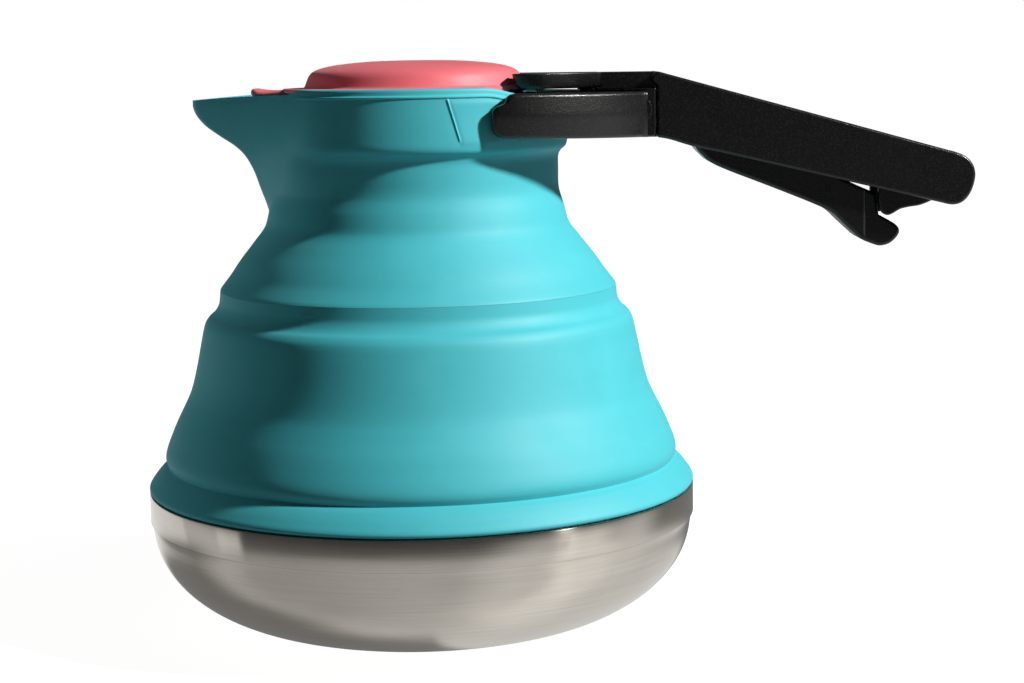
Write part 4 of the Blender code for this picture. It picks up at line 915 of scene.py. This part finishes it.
# The camera stands where the photograph was taken from: level with the mouth, a little
# to the right of the kettle's axis, looking slightly down, and turned by under a degree.
focal_pixels, photo_pixels = 2100, 1024
look_down, look_roll = radians(7.80), 0.0150
camera_data = bpy.data.cameras.new("camera")
camera_data.sensor_width = 36.0
camera_data.lens = 36.0 * focal_pixels / photo_pixels
camera = bpy.data.objects.new("camera", camera_data)
bpy.context.scene.collection.objects.link(camera)
camera.location = (0.0271, -0.6130, 0.1649)
look = Euler((pi / 2 - look_down, 0, 0)).to_matrix() @ Euler((0, 0, -look_roll)).to_matrix()
camera.rotation_euler = look.to_euler()
bpy.context.scene.camera = camera

# The studio: one key light high at the right and a weak glow from behind at the left, on a
# white surround that only the camera sees. The steel mirrors a dim room instead: dark in
# front, lighter strips at the left, a pale table below. The floor keeps the shadow.


def seen_by(wire, *kinds):
    """1 for the named kinds of ray, 0 for the others."""
    numbers = {"camera": 0, "glossy": 3, "transmission": 6}
    found = wire.add("LightPath", out=numbers[kinds[0]])
    for kind in kinds[1:]:
        found = wire.sum("MAXIMUM", found, wire.add("LightPath", out=numbers[kind]))
    return found


floor_finish, place, feed = finish_of("white_floor", Roughness=0.9, Specular_IOR_Level=0.0,
                                      Emission_Strength=1.0)
away = place.sum("SQRT", place.part(0) * place.part(0) + place.part(1) * place.part(1))
glow = seen_by(place, "camera") * (away.step(0.10, 0.30) * 0.04 + 0.965)
shade = place.noise(3.0).step(0.0, 1.0)
feed(Base_Color=shade.colours((0.20, 0.20, 0.20, 1), (0.22, 0.22, 0.22, 1)),
     Emission_Color=place.add("CombineXYZ", i0=glow, i1=glow, i2=glow * 0.995))
shape = bmesh.new()
bmesh.ops.create_grid(shape, x_segments=4, y_segments=4, size=6.0)
floor = piece_of("floor", shape, floor_finish)
floor.location = (0, 0, -0.0002)
floor.visible_glossy = False

world = bpy.data.worlds.new("surround")
bpy.context.scene.world = world
world.use_nodes = True
air = Wire(world.node_tree)
view_way = air.add("TexCoord", out=0)
across, along = view_way.part(0), view_way.part(1)
reach = air.sum("SQRT", across * across + along * along)
# Degrees round to the right of the camera's side, and how steeply a direction falls
side = air.sum("ARCTAN2", across, along * -1.0) * (180 / pi)
fall = air.sum("DIVIDE", view_way.part(2) * -1.0, reach)
# The room near the horizon: dark in front of the kettle, brighter at both sides
level_light = (1 - side.step(-79.0, -76.0)) * 0.66 + side.step(20.0, 52.0) * 0.48
level_light -= (side.step(-115.0, -112.0) - side.step(-92.0, -89.0)) * 0.24
level_light += (side.step(62.0, 66.0) - side.step(74.0, 90.0)) * 0.46
level_light += 0.06 - side.step(100.0, 122.0) * 0.46
# The pale table below it, then the part of the table close to the pan
under_light = side.step(-60.0, 0.0) * 0.10 + side.step(10.0, 45.0) * 0.22 + 0.42
under_light += (side.step(56.0, 68.0) - side.step(80.0, 100.0)) * 0.24
under_light -= (1 - side.step(-118.0, -92.0)) * 0.34 + side.step(90.0, 120.0) * 0.08
steep_light = across.step(-0.6, 0.1) * 0.14 + across.step(0.0, 0.45) * 0.42 + 0.42
steep = fall.step(1.3, 3.0)
downward = under_light * (1 - steep) + steep_light * steep
share = fall.step(0.26, 0.38)
room = (level_light * (1 - share) + downward * share) * fall.step(-0.02, 0.06)
room += along.step(-0.25, 0.15) * 0.10 + 0.02
backdrop = world.node_tree.nodes["Background"]
strength = seen_by(air, "camera") + seen_by(air, "glossy", "transmission") * room + 0.022
strength = air.sum("MINIMUM", strength, 1.0)
world.node_tree.links.new(strength.socket, backdrop.inputs["Strength"])
backdrop.inputs["Color"].default_value = (1, 1, 1, 1)


def lamp(name, around, above, away, size, power, colour=(1, 1, 1)):
    """An oval lamp, at degrees round to the right of the camera's side and above level."""
    aim = Vector((0, 0, 0.1))
    turn, rise = radians(around), radians(above)
    way = Vector((sin(turn) * cos(rise), -cos(turn) * cos(rise), sin(rise)))
    data = bpy.data.lights.new(name, "AREA")
    data.shape = "ELLIPSE"
    data.size, data.size_y = size
    data.energy = power
    data.color = colour
    made = bpy.data.objects.new(name, data)
    bpy.context.scene.collection.objects.link(made)
    made.location = aim + way * away
    made.rotation_euler = (-way).to_track_quat("-Z", "Y").to_euler()
    return made


lamp("key_light", 69, 35, 1.6, (0.13, 0.13), 37.5, (1.0, 0.985, 0.965))
back_glow = lamp("back_glow", -118, 6, 1.6, (0.4, 0.8), 5.5)
back_glow.visible_glossy = False

bpy.context.scene.view_settings.view_transform = "Standard"
